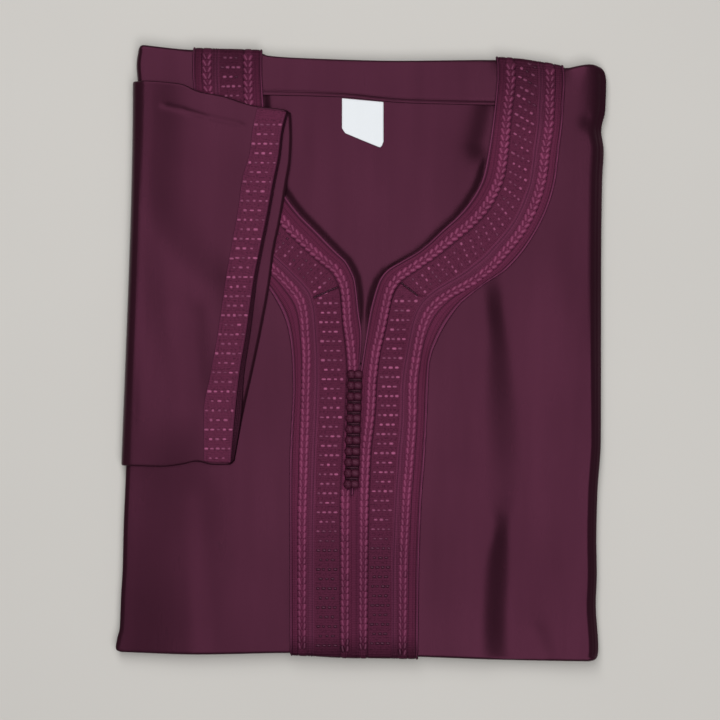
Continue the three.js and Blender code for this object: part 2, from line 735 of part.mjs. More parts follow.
function sleeve() {
  const body = new Body();
  const rings = (inset) =>
    sleeveStops().map((stop) =>
      sleeveLoop(inset).map(({ down, height }) => body.add(sleevePoint(stop, down, height))),
    );
  const outer = rings(0);
  const inner = rings(SLEEVE_WALL);
  const last = outer.length - 1;
  for (let i = 1; i <= last; i++) {
    body.strip(outer[i - 1], outer[i], true);
    body.strip(inner[i], inner[i - 1], true);
  }
  body.strip(inner[0], outer[0], true);
  body.strip(outer[last], inner[last], true);
  return body.geometry();
}

// The band stitched round the cuff, on the sleeve's upper layer
function cuffBand() {
  const round = SLEEVE_THICKNESS / 2 / (SLEEVE_TOP_Y - SLEEVE_BOTTOM_Y);
  const sections = [];
  for (let i = 0; i <= SLEEVE_CROSS_STEPS; i++) {
    sections.push(lerp(round, 1 - round, i / SLEEVE_CROSS_STEPS));
  }
  const point = (down, share, lift) => {
    const base = sleevePoint({ cuff: share }, down, SLEEVE_THICKNESS);
    return base.setZ(base.z + lift);
  };
  return bandBody(sections, CUFF_RELIEF, [1, 0.5, 0], point, SEAM_GAP, CUFF_WALL);
}

// A knot or loop is a small rounded body seated on the neck bands
function knotBody(half) {
  const geometry = new THREE.SphereGeometry(1, 8, 6);
  geometry.deleteAttribute("normal");
  geometry.deleteAttribute("uv");
  geometry.rotateX(Math.PI / 2);
  geometry.scale(half.x, half.y, half.z);
  return mergeVertices(geometry);
}

function material({ color, roughness, metalness }) {
  return new THREE.MeshStandardMaterial({ color, roughness, metalness });
}

const group = new THREE.Group();
function addPiece(name, geometry, finish, place = [0, 0, 0]) {
  const mesh = new THREE.Mesh(geometry, material(finish));
  mesh.name = name;
  mesh.position.set(...place);
  group.add(mesh);
}

addPiece("folded_layers", foldedLayers(), SATIN);
addPiece("back_panel", backPanel(), SATIN);
addPiece("back_neck_facing", backNeckFacing(), SATIN);
addPiece("size_label", sizeLabel(), LABEL_CLOTH);
addPiece("front_panel", frontPanel(), SATIN);
addPiece("neck_band_left", neckBand(LEFT_BAND), TRIM);
addPiece("neck_band_right", neckBand(RIGHT_BAND), TRIM);
addPiece("sleeve", sleeve(), SATIN);
addPiece("cuff_band", cuffBand(), TRIM);

const BAND_FACE = FRONT_TOP + SEAM_GAP + BAND_WALL + BAND_TOP_RISE;
for (let i = 0; i < KNOT_COUNT; i++) {
  const share = i / (KNOT_COUNT - 1);
  const y = lerp(KNOT_FIRST_Y, KNOT_LAST_Y, share);
  const number = String(i + 1).padStart(2, "0");
  const knotX = lerp(KNOT_CENTRE_X.first, KNOT_CENTRE_X.last, share);
  const loopX = lerp(LOOP_CENTRE_X.first, LOOP_CENTRE_X.last, share);
  const knotZ = BAND_FACE + SEAM_GAP + KNOT_HALF.z;
  const loopZ = BAND_FACE + SEAM_GAP + LOOP_HALF.z;
  addPiece("knot_" + number, knotBody(KNOT_HALF), KNOT_CLOTH, [knotX, y, knotZ]);
  addPiece("loop_" + number, knotBody(LOOP_HALF), KNOT_CLOTH, [loopX, y, loopZ]);
}

// The packet's middle is put exactly over the origin
const middle = new THREE.Box3().setFromObject(group).getCenter(new THREE.Vector3());
group.position.set(-middle.x, -middle.y, 0);

export default group;
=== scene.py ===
"""A gandoura folded flat, in satin with silk braid, dressed round its solid model.

The chest lies up, one short sleeve is laid over the front, and the rest is folded below.
Metres, +Z up. X runs across the packet and Y from the hem fold up to the shoulders.
"""

import math

import bpy
import numpy as np
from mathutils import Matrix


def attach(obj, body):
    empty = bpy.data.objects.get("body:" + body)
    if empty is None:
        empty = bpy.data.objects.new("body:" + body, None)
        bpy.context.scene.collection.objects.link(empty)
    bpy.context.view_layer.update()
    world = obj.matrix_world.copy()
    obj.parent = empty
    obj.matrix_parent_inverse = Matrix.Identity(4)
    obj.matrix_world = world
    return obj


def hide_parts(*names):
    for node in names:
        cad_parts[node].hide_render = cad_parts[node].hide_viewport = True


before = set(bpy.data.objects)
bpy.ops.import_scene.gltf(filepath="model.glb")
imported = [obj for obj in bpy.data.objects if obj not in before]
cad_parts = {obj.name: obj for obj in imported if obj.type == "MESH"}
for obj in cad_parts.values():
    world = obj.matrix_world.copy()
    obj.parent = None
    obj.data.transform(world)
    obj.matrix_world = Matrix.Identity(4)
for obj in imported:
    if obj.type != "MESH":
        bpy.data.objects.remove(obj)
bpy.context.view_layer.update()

bl_info = {
    "name": "Folded Gandoura",
    "version": (1, 0, 0),
    "blender": (4, 5, 0),
    "location": "3D View > Sidebar > Gandoura",
    "description": "Builds a folded gandoura in satin, with silk braid round the neck and cuff",
    "category": "Add Mesh",
}

MM = 0.001


def in_metres(rows):
    return np.array(rows, dtype=float) * MM


def screen_colour(red, green, blue):
    """The linear colour of a screen colour from 0 to 255."""
    parts = np.array([red, green, blue]) / 255
    linear = np.where(parts <= 0.04045, parts / 12.92, ((parts + 0.055) / 1.055) ** 2.4)
    return tuple(float(part) for part in linear)


# The packet, as in the solid model
PACKET_WIDTH = 0.386
PACKET_LENGTH = 0.484
FRONT_TOP = 0.017
RIM_LEFT = 0.0042
RIM_RIGHT = 0.0096
RIM_RIGHT_FOOT = 0.0078
RIM_TOP = 0.005
RIM_BOTTOM = 0.0045
RIM_HEIGHT = 0.0052
SIDE_RIM_HEIGHT = 0.0074
RIM_CURVE = 2.0
END_RIM_CURVE = 5.0
SIDE_RIM_CURVE = 1.2
# Shares across where the right side takes its own form, and along where its rim widens
RIGHT_SIDE = (0.93, 0.99)
RIGHT_RIM_SPAN = (0.25, 0.7)
SIDE_CREASES = np.array([0.52, 0.8])
SIDE_CREASE = 0.00035
SIDE_CREASE_REACH = 0.08
CORNER_ROUNDING = 0.8
TROUGH_BLEND = 4
WAVE_HEIGHT = 0.00022
# Heights where the front is still flat, near the hem and near the shoulder
FLAT_LOW_Y = -0.23
FLAT_HIGH_Y = 0.22
SKIRT_DEPTH = 0.0014
SKIRT_TUCK = 0.0008

# Places of each layer against the outer face of the front
CLOTH_WALL = 0.0006
BACK_LIFT = -0.0015
FACING_LIFT = -0.0008
LABEL_LIFT = -0.001
STACK_LIFT = -0.0028
STACK_SIDE_LIFT = -0.0016
BAND_FLOOR = 0.0003
BAND_WALL = 0.001

# Outline of the packet seen from above, x and y
LEFT_EDGE = in_metres([
    (-195.2, -239.6), (-196.8, -237.6), (-195.2, -227.2), (-193.6, -221.6), (-192.4, -193.6),
    (-191.2, -173.6), (-190.4, -141.6), (-188.4, -91.2), (-179.2, 218.4), (-180, 230.4),
    (-177.6, 247.2),
])
RIGHT_EDGE = in_metres([
    (188.8, -247.2), (190.4, -237.6), (188.4, -201.6), (189.2, -177.6), (188.8, -149.6),
    (189.6, -113.6), (192.4, -69.6), (192.8, 78.4), (193.6, 138.4), (194.8, 162.4),
    (192.8, 178.4), (196, 194.4), (196.8, 218.4), (194.4, 229.6),
])
TOP_EDGE = in_metres([
    (-177.6, 247.2), (-136.8, 243), (-80.5, 241.2), (-75, 239.2), (-48.8, 237.2), (31.2, 235),
    (106, 235.6), (123, 234.8), (147, 231.4), (165, 228.5), (175, 230.4), (183, 231.4),
    (194.4, 229.6),
])
BOTTOM_EDGE = in_metres([
    (-195.2, -239.6), (-128.8, -241.6), (-60.8, -240.4), (-12.8, -242.6), (46, -243.4),
    (63.2, -244), (119.2, -246), (188.8, -247.2),
])

# Soft troughs in the cloth: both ends, the depth and the reach to each side
FRONT_TROUGHS = in_metres([
    (197, 178.4, 185, 186, 1.5, 7),
    (199, 194, 199, 240, 3.2, 12),
    (121, 240, 165, 234, 2.4, 11),
    (-130, 250, -84, 250, 1.6, 12),
    (150, -246, 140, -222, 0.3, 7),
    (-205, -240, -200, -110, 3.0, 46),
    (-120, -236, -128, -120, 0.6, 16),
])
BACK_TROUGHS = in_metres([
    (108, 202, 100, 167, 2.6, 13),
    (20, 190, 26, 140, 0.7, 16),
])
# How deep the back cloth dips below the neck's edge, and how far from it
NECK_DIP = 0.0017
NECK_DIP_REACH = 0.0032
NECK_DIP_FROM_Y = -0.02
# The folds below give it room
STACK_DIP = 0.0022
STACK_DIP_REACH = 0.011
STACK_TROUGH = 1.3
SLEEVE_TROUGHS = in_metres([
    (-157, 197.5, -142.4, 194, 0.55, 2),
    (-142.4, 194, -125.6, 189, 0.75, 2),
    (-125.6, 189, -96, 182.5, 0.6, 2.2),
    (-136, 30, -128, -40, 1.1, 12),
])
# The long soft fold down the right of the front: y, x, its drop and the reach of its slope
LONG_FOLD = in_metres([
    (-248, 107, 1.6, 15), (-236, 107, 2.7, 13.5), (-214, 107, 3.1, 13), (-180, 108.5, 3, 12.5),
    (-160, 110, 2.7, 11), (-146, 112, 2.1, 8.5), (-134, 113, 1.5, 8.5), (-122, 113, 1.3, 13),
    (-100, 113, 1.5, 17), (-60, 112, 1.9, 17), (-24, 111, 1.8, 14), (0, 110.5, 1.6, 11),
    (14, 109.5, 1.6, 9.5), (32, 107.5, 1.8, 9), (46, 106.5, 1.6, 9.5), (60, 106, 0.8, 10),
    (80, 105, 0, 10),
])
LONG_FOLD_RETURN = 0.06
LONG_FOLD_RISE = 0.4

# Sections across each half of the neck band: its neck edge and its outer edge, x and y of both
RIGHT_BAND = in_metres([
    (108.8, 218, 163.2, 214), (106.6, 195.2, 161.6, 188), (102.4, 164.8, 158.6, 162),
    (97.6, 141, 155.6, 137.6), (93.5, 131.2, 148.8, 115), (85.2, 118.4, 132.8, 85.6),
    (76.8, 108.8, 116, 66.4), (64.4, 97.6, 99.2, 55.2), (54.4, 88, 88.8, 47.2),
    (44.8, 80.4, 80.8, 40.4), (32.5, 73.4, 72.8, 30.4), (21, 66.4, 65.6, 19),
    (15.2, 59.2, 60.6, 9), (11.8, 50.4, 56.8, -0.8), (7.5, 34.4, 54.8, -10),
    (4, 13.6, 54.2, -20), (0.8, -7.2, 53.8, -30), (-1.6, -23.2, 53.4, -40),
    (-2.8, -47.2, 52.6, -58), (-6.4, -77.6, 51.2, -84), (-7.7, -117.6, 48.4, -121.6),
    (-7.7, -175, 46.6, -175), (-7.7, -236, 45.8, -236),
])
LEFT_BAND = in_metres([
    (-79.2, 222.4, -134.8, 222.4), (-77.6, 195.2, -132.4, 192), (-72.8, 164.8, -129.2, 162),
    (-68, 141, -126, 137.6), (-64, 131.2, -119.2, 115), (-56, 119.2, -104, 85.6),
    (-48.8, 110.4, -88.8, 66.4), (-35.2, 96.8, -74.8, 52.6), (-25.6, 86.8, -67.6, 41.2),
    (-19.2, 80.4, -64.4, 35.2), (-12, 73.4, -61.6, 28.8), (-8, 66.4, -59.2, 21.6),
    (-5, 59.2, -57.6, 14.4), (-3.6, 50.4, -56.2, 5.6), (-1.9, 34.4, -55.2, -6),
    (0.6, 13.6, -54.8, -17), (-0.8, -7.2, -54.5, -29.6), (-2.4, -23.2, -55, -40),
    (-3.6, -47.2, -55.8, -54), (-7.1, -77.6, -57, -82.4), (-7.8, -117.6, -57.3, -121.6),
    (-7.8, -175, -57, -175), (-7.8, -236, -56.8, -236),
])

# Lines of chain stitch, x and y along each
RIGHT_INNER_CHAIN = in_metres([
    (121, 245), (120, 222.4), (119.2, 208.8), (116.8, 195.2), (115.7, 180.8), (114.4, 164.8),
    (112.8, 150.4), (111.2, 140.8), (106, 128.8), (100.4, 117.6), (90.4, 106.4), (76.8, 95.2),
    (63.2, 84), (48, 72.8), (34.4, 64), (26.4, 56.8), (21.6, 48), (19.2, 34.4), (16.8, 20.8),
    (13.3, 9.6), (10.9, -0.8), (8.8, -23.2), (7.5, -47.2), (4, -77.6), (2.4, -117.6),
    (1.6, -194.4), (1.6, -260),
])
RIGHT_OUTER_CHAIN = in_metres([
    (151.5, 245), (151.2, 229.6), (151.2, 208.8), (150.4, 180.8), (146.9, 160), (144.8, 139.2),
    (140.8, 125.6), (135.2, 110.4), (126.8, 95.2), (116.8, 84), (107.2, 72.8), (100.4, 64.8),
    (88, 56), (74.4, 49.6), (59.2, 40), (52.8, 31.2), (48.8, 20), (45.9, 5.6), (43.2, -8.8),
    (41.1, -23.2), (41.1, -51.2), (39.2, -77.6), (36, -117.6), (33.6, -166.4), (33.2, -221.6),
    (33.2, -260),
])
LEFT_INNER_CHAIN = in_metres([
    (-90.4, 250), (-90.4, 222.4), (-89.6, 194.4), (-86.4, 165.6), (-82.4, 146.4),
    (-77.6, 130.4), (-71.2, 117.6), (-61.6, 104.8), (-49.6, 92), (-35.2, 78.4), (-23.2, 69.6),
    (-15.5, 61.6), (-13.6, 53.6), (-12, 44), (-11.2, 30.4), (-10.4, 19.2), (-8.8, 7.2),
    (-6.6, -10.4), (-7.2, -23.2), (-10.4, -70), (-12.8, -117.6), (-12.8, -260),
])
LEFT_OUTER_CHAIN = in_metres([
    (-123.2, 250), (-123.2, 222.4), (-120.8, 194.4), (-117.6, 164.8), (-114.4, 142.4),
    (-108.8, 125.6), (-100, 104.8), (-88.8, 86.4), (-77.6, 73.6), (-66.4, 63.2),
    (-56.8, 54.4), (-51.2, 48), (-47.2, 40.8), (-45.6, 28.8), (-44.8, 15.2), (-43.4, 0.8),
    (-44, -13.6), (-44.8, -52), (-47.2, -133.6), (-47.2, -260),
])

# The band's relief. Place 0 is the neck edge, 1 and 2 are the chains, and 3 is the outer edge
BAND_RELIEF = [
    (0, 0.3), (0.02, 0.7), (0.07, 0.9), (0.12, 0.7), (0.16, 0.1), (0.28, 0.4), (0.5, 0.45),
    (0.68, 0.4), (0.76, 0.1), (0.83, 0.5), (0.92, 0.6), (1, 0.6), (1.06, 0.5), (1.1, 0),
    (1.14, 0.28), (1.24, 0.3), (1.34, 0.3), (1.44, 0.3), (1.54, 0.3), (1.64, 0.3), (1.7, 0.25),
    (1.715, 0.05), (1.735, 0.65), (1.755, 0.05), (1.79, 0.65), (1.81, 0.1), (1.83, 0.35),
    (1.87, 0.35), (1.89, 0.1), (1.92, 0.5), (2, 0.6), (2.16, 0.6), (2.27, 0.5), (2.33, 0),
    (2.38, 0.45), (2.5, 0.5), (2.6, 0.5), (2.7, 0.45), (2.78, 0.4), (2.83, 0), (2.87, 0.6),
    (2.92, 0.9), (2.97, 0.6), (3, 0.1),
]
# Screen colours of the band across its width. The near-black stops at its neck edge (place 0) and
# its outer edge (place 3) are painted shadow along its edges
BAND_TONES = [
    (0, (34, 12, 22)), (0.03, (96, 44, 70)), (0.11, (100, 47, 74)), (0.16, (44, 15, 29)),
    (0.26, (80, 30, 53)), (0.4, (86, 33, 57)), (0.47, (68, 25, 45)), (0.54, (84, 32, 56)),
    (0.68, (80, 30, 53)), (0.8, (102, 42, 70)), (1.06, (102, 42, 70)),
    (1.11, (48, 18, 32)), (1.16, (82, 33, 55)), (1.7, (82, 33, 55)), (1.735, (98, 44, 70)),
    (1.76, (60, 24, 41)), (1.79, (98, 44, 70)), (1.83, (80, 34, 55)), (1.88, (82, 35, 57)),
    (1.94, (102, 42, 70)), (2.27, (102, 42, 70)), (2.34, (46, 17, 31)), (2.42, (86, 33, 57)),
    (2.56, (88, 34, 59)), (2.62, (70, 26, 46)), (2.68, (86, 33, 57)), (2.75, (78, 29, 51)),
    (2.82, (40, 14, 26)), (2.87, (102, 48, 75)), (2.95, (100, 46, 73)),
    (3, (36, 13, 24)),
]
# The band's colour is darkened by painted shade at the shoulder, over its foot and at the hem: by
# how much, and over which distances from that end. Its stitches get the same painted shade over the
# two reaches
SHOULDER_SHADE = 0.68
SHOULDER_SHADE_REACH = 0.065
FOOT_SHADE = 0.2
FOOT_SHADE_SPAN = (0.13, 0.085)
HEM_SHADE = 0.7
HEM_SHADE_SPAN = (0.023, 0.009)
HEM_SHADE_REACH = 0.016
# Below the knots the neck edges meet, so piping and its groove are plain there
PLAIN_BELOW_Y = -0.112
PLAIN_BLEND = 0.004
PLAIN_PLACE = 0.4
PLAIN_RISE = 0.45
# Rows of short stitches lean on the right strap: metres down for each place across
RIGHT_LEAN = 0.015
LEANING_ROWS = (4, 9)
DOTTED_FROM = 1.16
DOTTED_TO = 1.69
DOTTED_MARGIN = 0.03
DOTTED_PLACES = 7
# The middle of a short stitch lies this high over its band
DASH_RISE = 0.0004
# The step across a band that finds its way there
PLACE_STEP = 0.05
# Dark seams where the band is turned at its mitre: both ends, the depth and the reach
RIGHT_MITRE = in_metres([(33, 55.5, 45.6, 45.6, 0.75, 1.1)])
LEFT_MITRE = in_metres([(-36.8, 44.8, -18.4, 52.8, 0.7, 1.0)])

# Lower edge of the facing inside the back neck
FACING_SEAM = in_metres([
    (-95, 206.6), (-81, 206.4), (-16.8, 204.8), (31.2, 200.4), (63.2, 199.2), (130, 198),
])
FACING_FOLD = 0.0036
LABEL_TOP = in_metres([(-15.2, 203.9), (18, 200.9)])
LABEL_FOOT = in_metres([
    (-15.2, 180), (-12.8, 176), (0, 170.6), (15.2, 164.4), (17.2, 166.4), (18, 169.2),
])

# The sleeve: y, then x of the cuff band, of the cuff edge and of the lower layer's edge
SLEEVE = in_metres([
    (192, -82.6, -59.2, -56), (172.8, -86.6, -63.8, -55.4), (154.4, -88.8, -66, -56.2),
    (133.6, -94.4, -70.2, -59.2), (100.8, -99.2, -76.4, -64.8), (80, -103.2, -80.8, -69.2),
    (56, -107.6, -85.6, -72.4), (12, -114.4, -92, -80.4), (-18.4, -120, -97.2, -86.8),
    (-48.8, -125.6, -100.8, -93.6), (-88, -125.4, -104.4, -101),
])
SLEEVE_UPPER_FOLD = in_metres([
    (-184, 216), (-176.8, 217.8), (-144.8, 215.2), (-128.8, 208.8), (-112, 205.6),
    (-84, 197.2), (-60.8, 194.4), (-56, 191.6),
])
SLEEVE_LOWER_FOLD = in_metres([
    (-193, -90), (-160, -91), (-144.8, -89.4), (-131.2, -86.8), (-118.4, -89.4),
    (-104.8, -89.4), (-101, -86.4),
])
SLEEVE_THICKNESS = 0.0034
SLEEVE_REST = 0.0004
SLEEVE_BOTTOM_Y = -0.088
SLEEVE_TOP_Y = 0.192
SLEEVE_SIDE_X = -0.18
SLEEVE_WAVES = 0.7
# Levels between the layers where the cuff's edge steps in, and where troughs set in
SLEEVE_EDGE_SPAN = (0.3, 0.7)
SLEEVE_TROUGH_SPAN = (0.5, 1)
SLEEVE_TROUGH_REACH = (0, 0.12)
SLEEVE_CLIMB = 0.0025
SLEEVE_CLIMB_START = 0.056
SLEEVE_CLIMB_END = 0.004
# Place 1 is the cuff's edge, beyond which its lining falls to the lower layer
CUFF_RELIEF = [
    (0, 0.1), (0.03, 0.3), (0.08, 0.35), (0.11, 0.2), (0.16, 0.3), (0.84, 0.3), (0.89, 0.2),
    (0.92, 0.35), (0.97, 0.35), (1, 0.1), (1.03, -0.5), (1.07, -1.2), (1.12, -1.9), (1.17, -2.5),
    (1.2, -2.7),
]
# Screen colours across the cuff. The near-black stops beyond place 1 are painted shadow on the
# lining's fall below the cuff's edge
CUFF_TONES = [
    (0, (80, 34, 56)), (0.05, (90, 39, 63)), (0.11, (80, 33, 54)), (0.16, (88, 37, 60)),
    (0.84, (88, 37, 60)), (0.89, (82, 34, 56)), (0.94, (88, 38, 62)), (0.99, (82, 35, 57)),
    (1.02, (22, 7, 14)), (1.2, (20, 6, 12)),
]
CUFF_END = 1.2
# How far the lining falls out from the cuff's edge: y and the distance
CUFF_FALL = in_metres([(192, 1.6), (100, 2.2), (42, 3), (-18, 4), (-50, 5.6), (-88, 2.8)])

# Tints of the gloss, which silk and satin keep in their own colour
SILK_GLOSS = (0.95, 0.24, 0.5)
THREAD_GLOSS = (0.95, 0.36, 0.6)
KNOT_GLOSS = (0.9, 0.4, 0.6)

# Each finish: its roughness, the level of its gloss and its tint
SATIN_SHEEN = (0.28, 0.25, SILK_GLOSS)
BAND_SHEEN = (0.48, 0.35, SILK_GLOSS)
THREAD_SHEEN = (0.38, 0.45, THREAD_GLOSS)
KNOT_SHEEN = (0.46, 0.35, KNOT_GLOSS)
LABEL_SHEEN = (0.7, 0.3)
FLOOR_SHEEN = (0.7, 0.2)
# The height in metres of each fine relief, and its strength
SATIN_BUMP = (0.000008, 0.5)
BRAID_BUMP = (0.00012, 0.6)
THREAD_BUMP = (0.0001, 0.5)
KNOT_BUMP = (0.00025, 0.6)
LABEL_BUMP = (0.00005, 0.6)
# The satin's drift of tone, and the roughness at its darker and at its lighter places
SATIN_DRIFT = 0.55
DRIFT_TONES = (0.7, 1.3)
DRIFT_ROUGHNESS = (0.335, 0.235)
LABEL_THREAD_PITCH = 0.0008
LABEL_DRIFT = 0.05
# How strongly tone follows the braid's height, as painted shade between its ribs and strands, and
# how rows darken: a factor and a base
BRAID_TONE = (0.06, 0.95)
ROW_SHADE = (0.55, 0.35)
# How tone follows each stitch's own number: a factor and a base
CHAIN_TONES = (0.3, 0.85)
DASH_TONES = (1.0, 0.5)
KNOT_TONES = (0.75, 0.5)
# The scale and the detail of the strands
THREAD_GRAIN = (1800.0, 2.0)
KNOT_GRAIN = (1300.0, 3.0)

# Cloth knots and loops down the front slit
KNOT_COUNT = 11
KNOT_FIRST_Y = -0.0172
KNOT_LAST_Y = -0.1048
KNOT_X = (-0.0076, -0.0104)
LOOP_X = (-0.0017, -0.0045)
KNOT_HALF = (0.0038, 0.0037, 0.003)
LOOP_HALF = (0.0035, 0.0035, 0.0024)
LOOP_SHIFT = -0.0005
KNOT_SEAT = 0.0194
# The corded tape below the knots
TAPE_HALF = 0.0056
TAPE_TOP_Y = -0.0155
TAPE_FOOT_Y = -0.1065
TAPE_LIFT = 0.0021
TAPE_WALL = 0.0004
TAPE_CORD = 0.0022
TAPE_CORD_HEIGHT = 0.0006
TAPE_CORD_STEPS = 6
TAPE_COLUMNS = 17
# How much darker the tape is painted in the grooves between its cords and at its edges: painted
# shade
TAPE_TONE = 0.4


def a_colour(name, description, *tone):
    """A colour setting, from a screen colour."""
    return bpy.props.FloatVectorProperty(
        name=name, description=description, subtype="COLOR", size=3, min=0, max=1,
        default=screen_colour(*tone),
    )


def a_number(name, description, default, least, most, unit="LENGTH"):
    """A setting with a unit and limits."""
    return bpy.props.FloatProperty(
        name=name, description=description, default=default, min=least, max=most, unit=unit,
    )


class SatinSettings(bpy.types.PropertyGroup):
    """Sizes and colours of the satin."""

    colour: a_colour("Satin", "Colour of the satin", 43, 19, 29)
    label_colour: a_colour("Label", "Colour of the label", 242, 246, 250)
    grid_step: a_number("Cloth Grid", "Spacing of the points of the front", 0.0028, 0.001, 0.02)
    thread_pitch: a_number("Thread Pitch", "Spacing of the satin's threads", 0.00055, 0.0001, 0.005)


class TrimSettings(bpy.types.PropertyGroup):
    """Sizes and colours of the bands, their stitching and the knots."""

    # The threads are lighter than the band: partly the silk's own colour, and partly painted sheen
    thread_colour: a_colour("Silk Thread", "Colour of the raised stitches", 115, 49, 80)
    dash_colour: a_colour("Bright Thread", "Colour of the short satin stitches", 144, 75, 108)
    knot_colour: a_colour("Knots", "Colour of the knots and loops", 70, 26, 45)
    stitch_pitch: a_number("Chain Pitch", "Length of one chain stitch", 0.0052, 0.002, 0.02)
    row_pitch: a_number("Row Pitch", "Spacing of the rows of short stitches", 0.0076, 0.003, 0.03)


class StageSettings(bpy.types.PropertyGroup):
    """The floor, the lights and the camera."""

    floor_colour: a_colour("Floor", "Colour of the floor", 214, 211, 206)
    picture_width: a_number("Picture Width", "What the camera sees on the front", 0.576, 0.1, 5)
    camera_distance: a_number("Camera Distance", "From the camera down to the front", 2.4, 0.3, 10)
    key_power: a_number("Key Light", "Power of the light above the shoulders", 7, 0, 500, "POWER")
    top_power: a_number("Top Light", "Power of the long light overhead", 47, 0, 500, "POWER")


def lerp(start, end, share):
    return start + (end - start) * share


def smooth_step(value, low, high):
    share = np.clip((value - low) / (high - low), 0, 1)
    return share * share * (3 - 2 * share)


def smooth_line(places, values, at):
    """A smooth line through the points of a table, which never swings past them."""
    order = np.argsort(places)
    places, values = places[order], values[order]
    step = np.diff(places)
    slope = np.diff(values) / step
    tangent = np.zeros(len(places))
    tangent[0], tangent[-1] = slope[0], slope[-1]
    before, after = slope[:-1], slope[1:]
    same_way = before * after > 0
    total = np.where(same_way, before + after, 1)
    tangent[1:-1] = np.where(same_way, 2 * before * after / total, 0)
    at = np.clip(at, places[0], places[-1])
    i = np.clip(np.searchsorted(places, at) - 1, 0, len(step) - 1)
    t = (at - places[i]) / step[i]
    return (
        values[i] * (2 * t**3 - 3 * t**2 + 1)
        + tangent[i] * step[i] * (t**3 - 2 * t**2 + t)
        + values[i + 1] * (3 * t**2 - 2 * t**3)
        + tangent[i + 1] * step[i] * (t**3 - t**2)
    )


def edge_at(edge, share):
    """How far out an edge of the packet is, from its places along it and their distances."""
    along, out = edge
    return smooth_line(along, out, lerp(along[0], along[-1], share))


def left_x(along):
    return edge_at(LEFT_EDGE.T[::-1], along)


def right_x(along):
    return edge_at(RIGHT_EDGE.T[::-1], along)


def right_rim(along):
    """The width of the turned edge on the right, which is narrower towards the hem."""
    return lerp(RIM_RIGHT_FOOT, RIM_RIGHT, smooth_step(along, *RIGHT_RIM_SPAN))


def bottom_y(across):
    return edge_at(BOTTOM_EDGE.T, across)


def top_y(across):
    return edge_at(TOP_EDGE.T, across)


def run_distance(x0, y0, x1, y1, x, y):
    """The distance from each place to a straight run between two points."""
    run = np.array([x1 - x0, y1 - y0])
    share = np.clip(((x - x0) * run[0] + (y - y0) * run[1]) / (run @ run), 0, 1)
    return np.hypot(x - x0 - share * run[0], y - y0 - share * run[1])


def trough_depth(troughs, x, y):
    """How far the cloth sinks at a place, in the deepest of some soft troughs."""
    depth = np.zeros(np.shape(x))
    for x0, y0, x1, y1, deep, reach in troughs:
        off = run_distance(x0, y0, x1, y1, x, y) / reach
        depth += (deep * np.exp(-off * off)) ** TROUGH_BLEND
    return depth ** (1 / TROUGH_BLEND)


def line_distance(line, x, y):
    """The shortest distance from each place to a line of points."""
    nearest = np.full(np.shape(x), np.inf)
    for (x0, y0), (x1, y1) in zip(line[:-1], line[1:]):
        nearest = np.minimum(nearest, run_distance(x0, y0, x1, y1, x, y))
    return nearest


def neck_dip(x, y, depth, reach):
    """How far a layer below the front dips along the edge of the neck."""
    dip = np.zeros(np.shape(x))
    for sections in (RIGHT_BAND, LEFT_BAND):
        off = line_distance(sections[sections[:, 1] > NECK_DIP_FROM_Y][:, :2], x, y)
        dip = np.maximum(dip, depth * gauss(off, reach))
    return dip


def long_fold(x, y):
    """How far the cloth drops over the long fold, and climbs again beyond it."""
    middle, drop, reach = (smooth_line(LONG_FOLD[:, 0], line, y) for line in LONG_FOLD.T[1:])
    off = x - middle
    over = smooth_step(off, -reach, reach)
    low = over * (1 - smooth_step(off, reach, LONG_FOLD_RETURN))
    high = (1 - over) * smooth_step(off, -LONG_FOLD_RETURN, -reach)
    return drop * (low - LONG_FOLD_RISE * high)


def soft_waves(x, y):
    """The slight unevenness of cloth that lies on folds of itself."""
    return WAVE_HEIGHT * (
        np.sin(x / 0.0165 + 1.3 * np.sin(y / 0.071))
        + 0.8 * np.sin(y / 0.031 + 1.1 * np.sin(x / 0.043) + 0.6)
        + 0.5 * np.sin((x + y) / 0.021 + 2.1)
    )


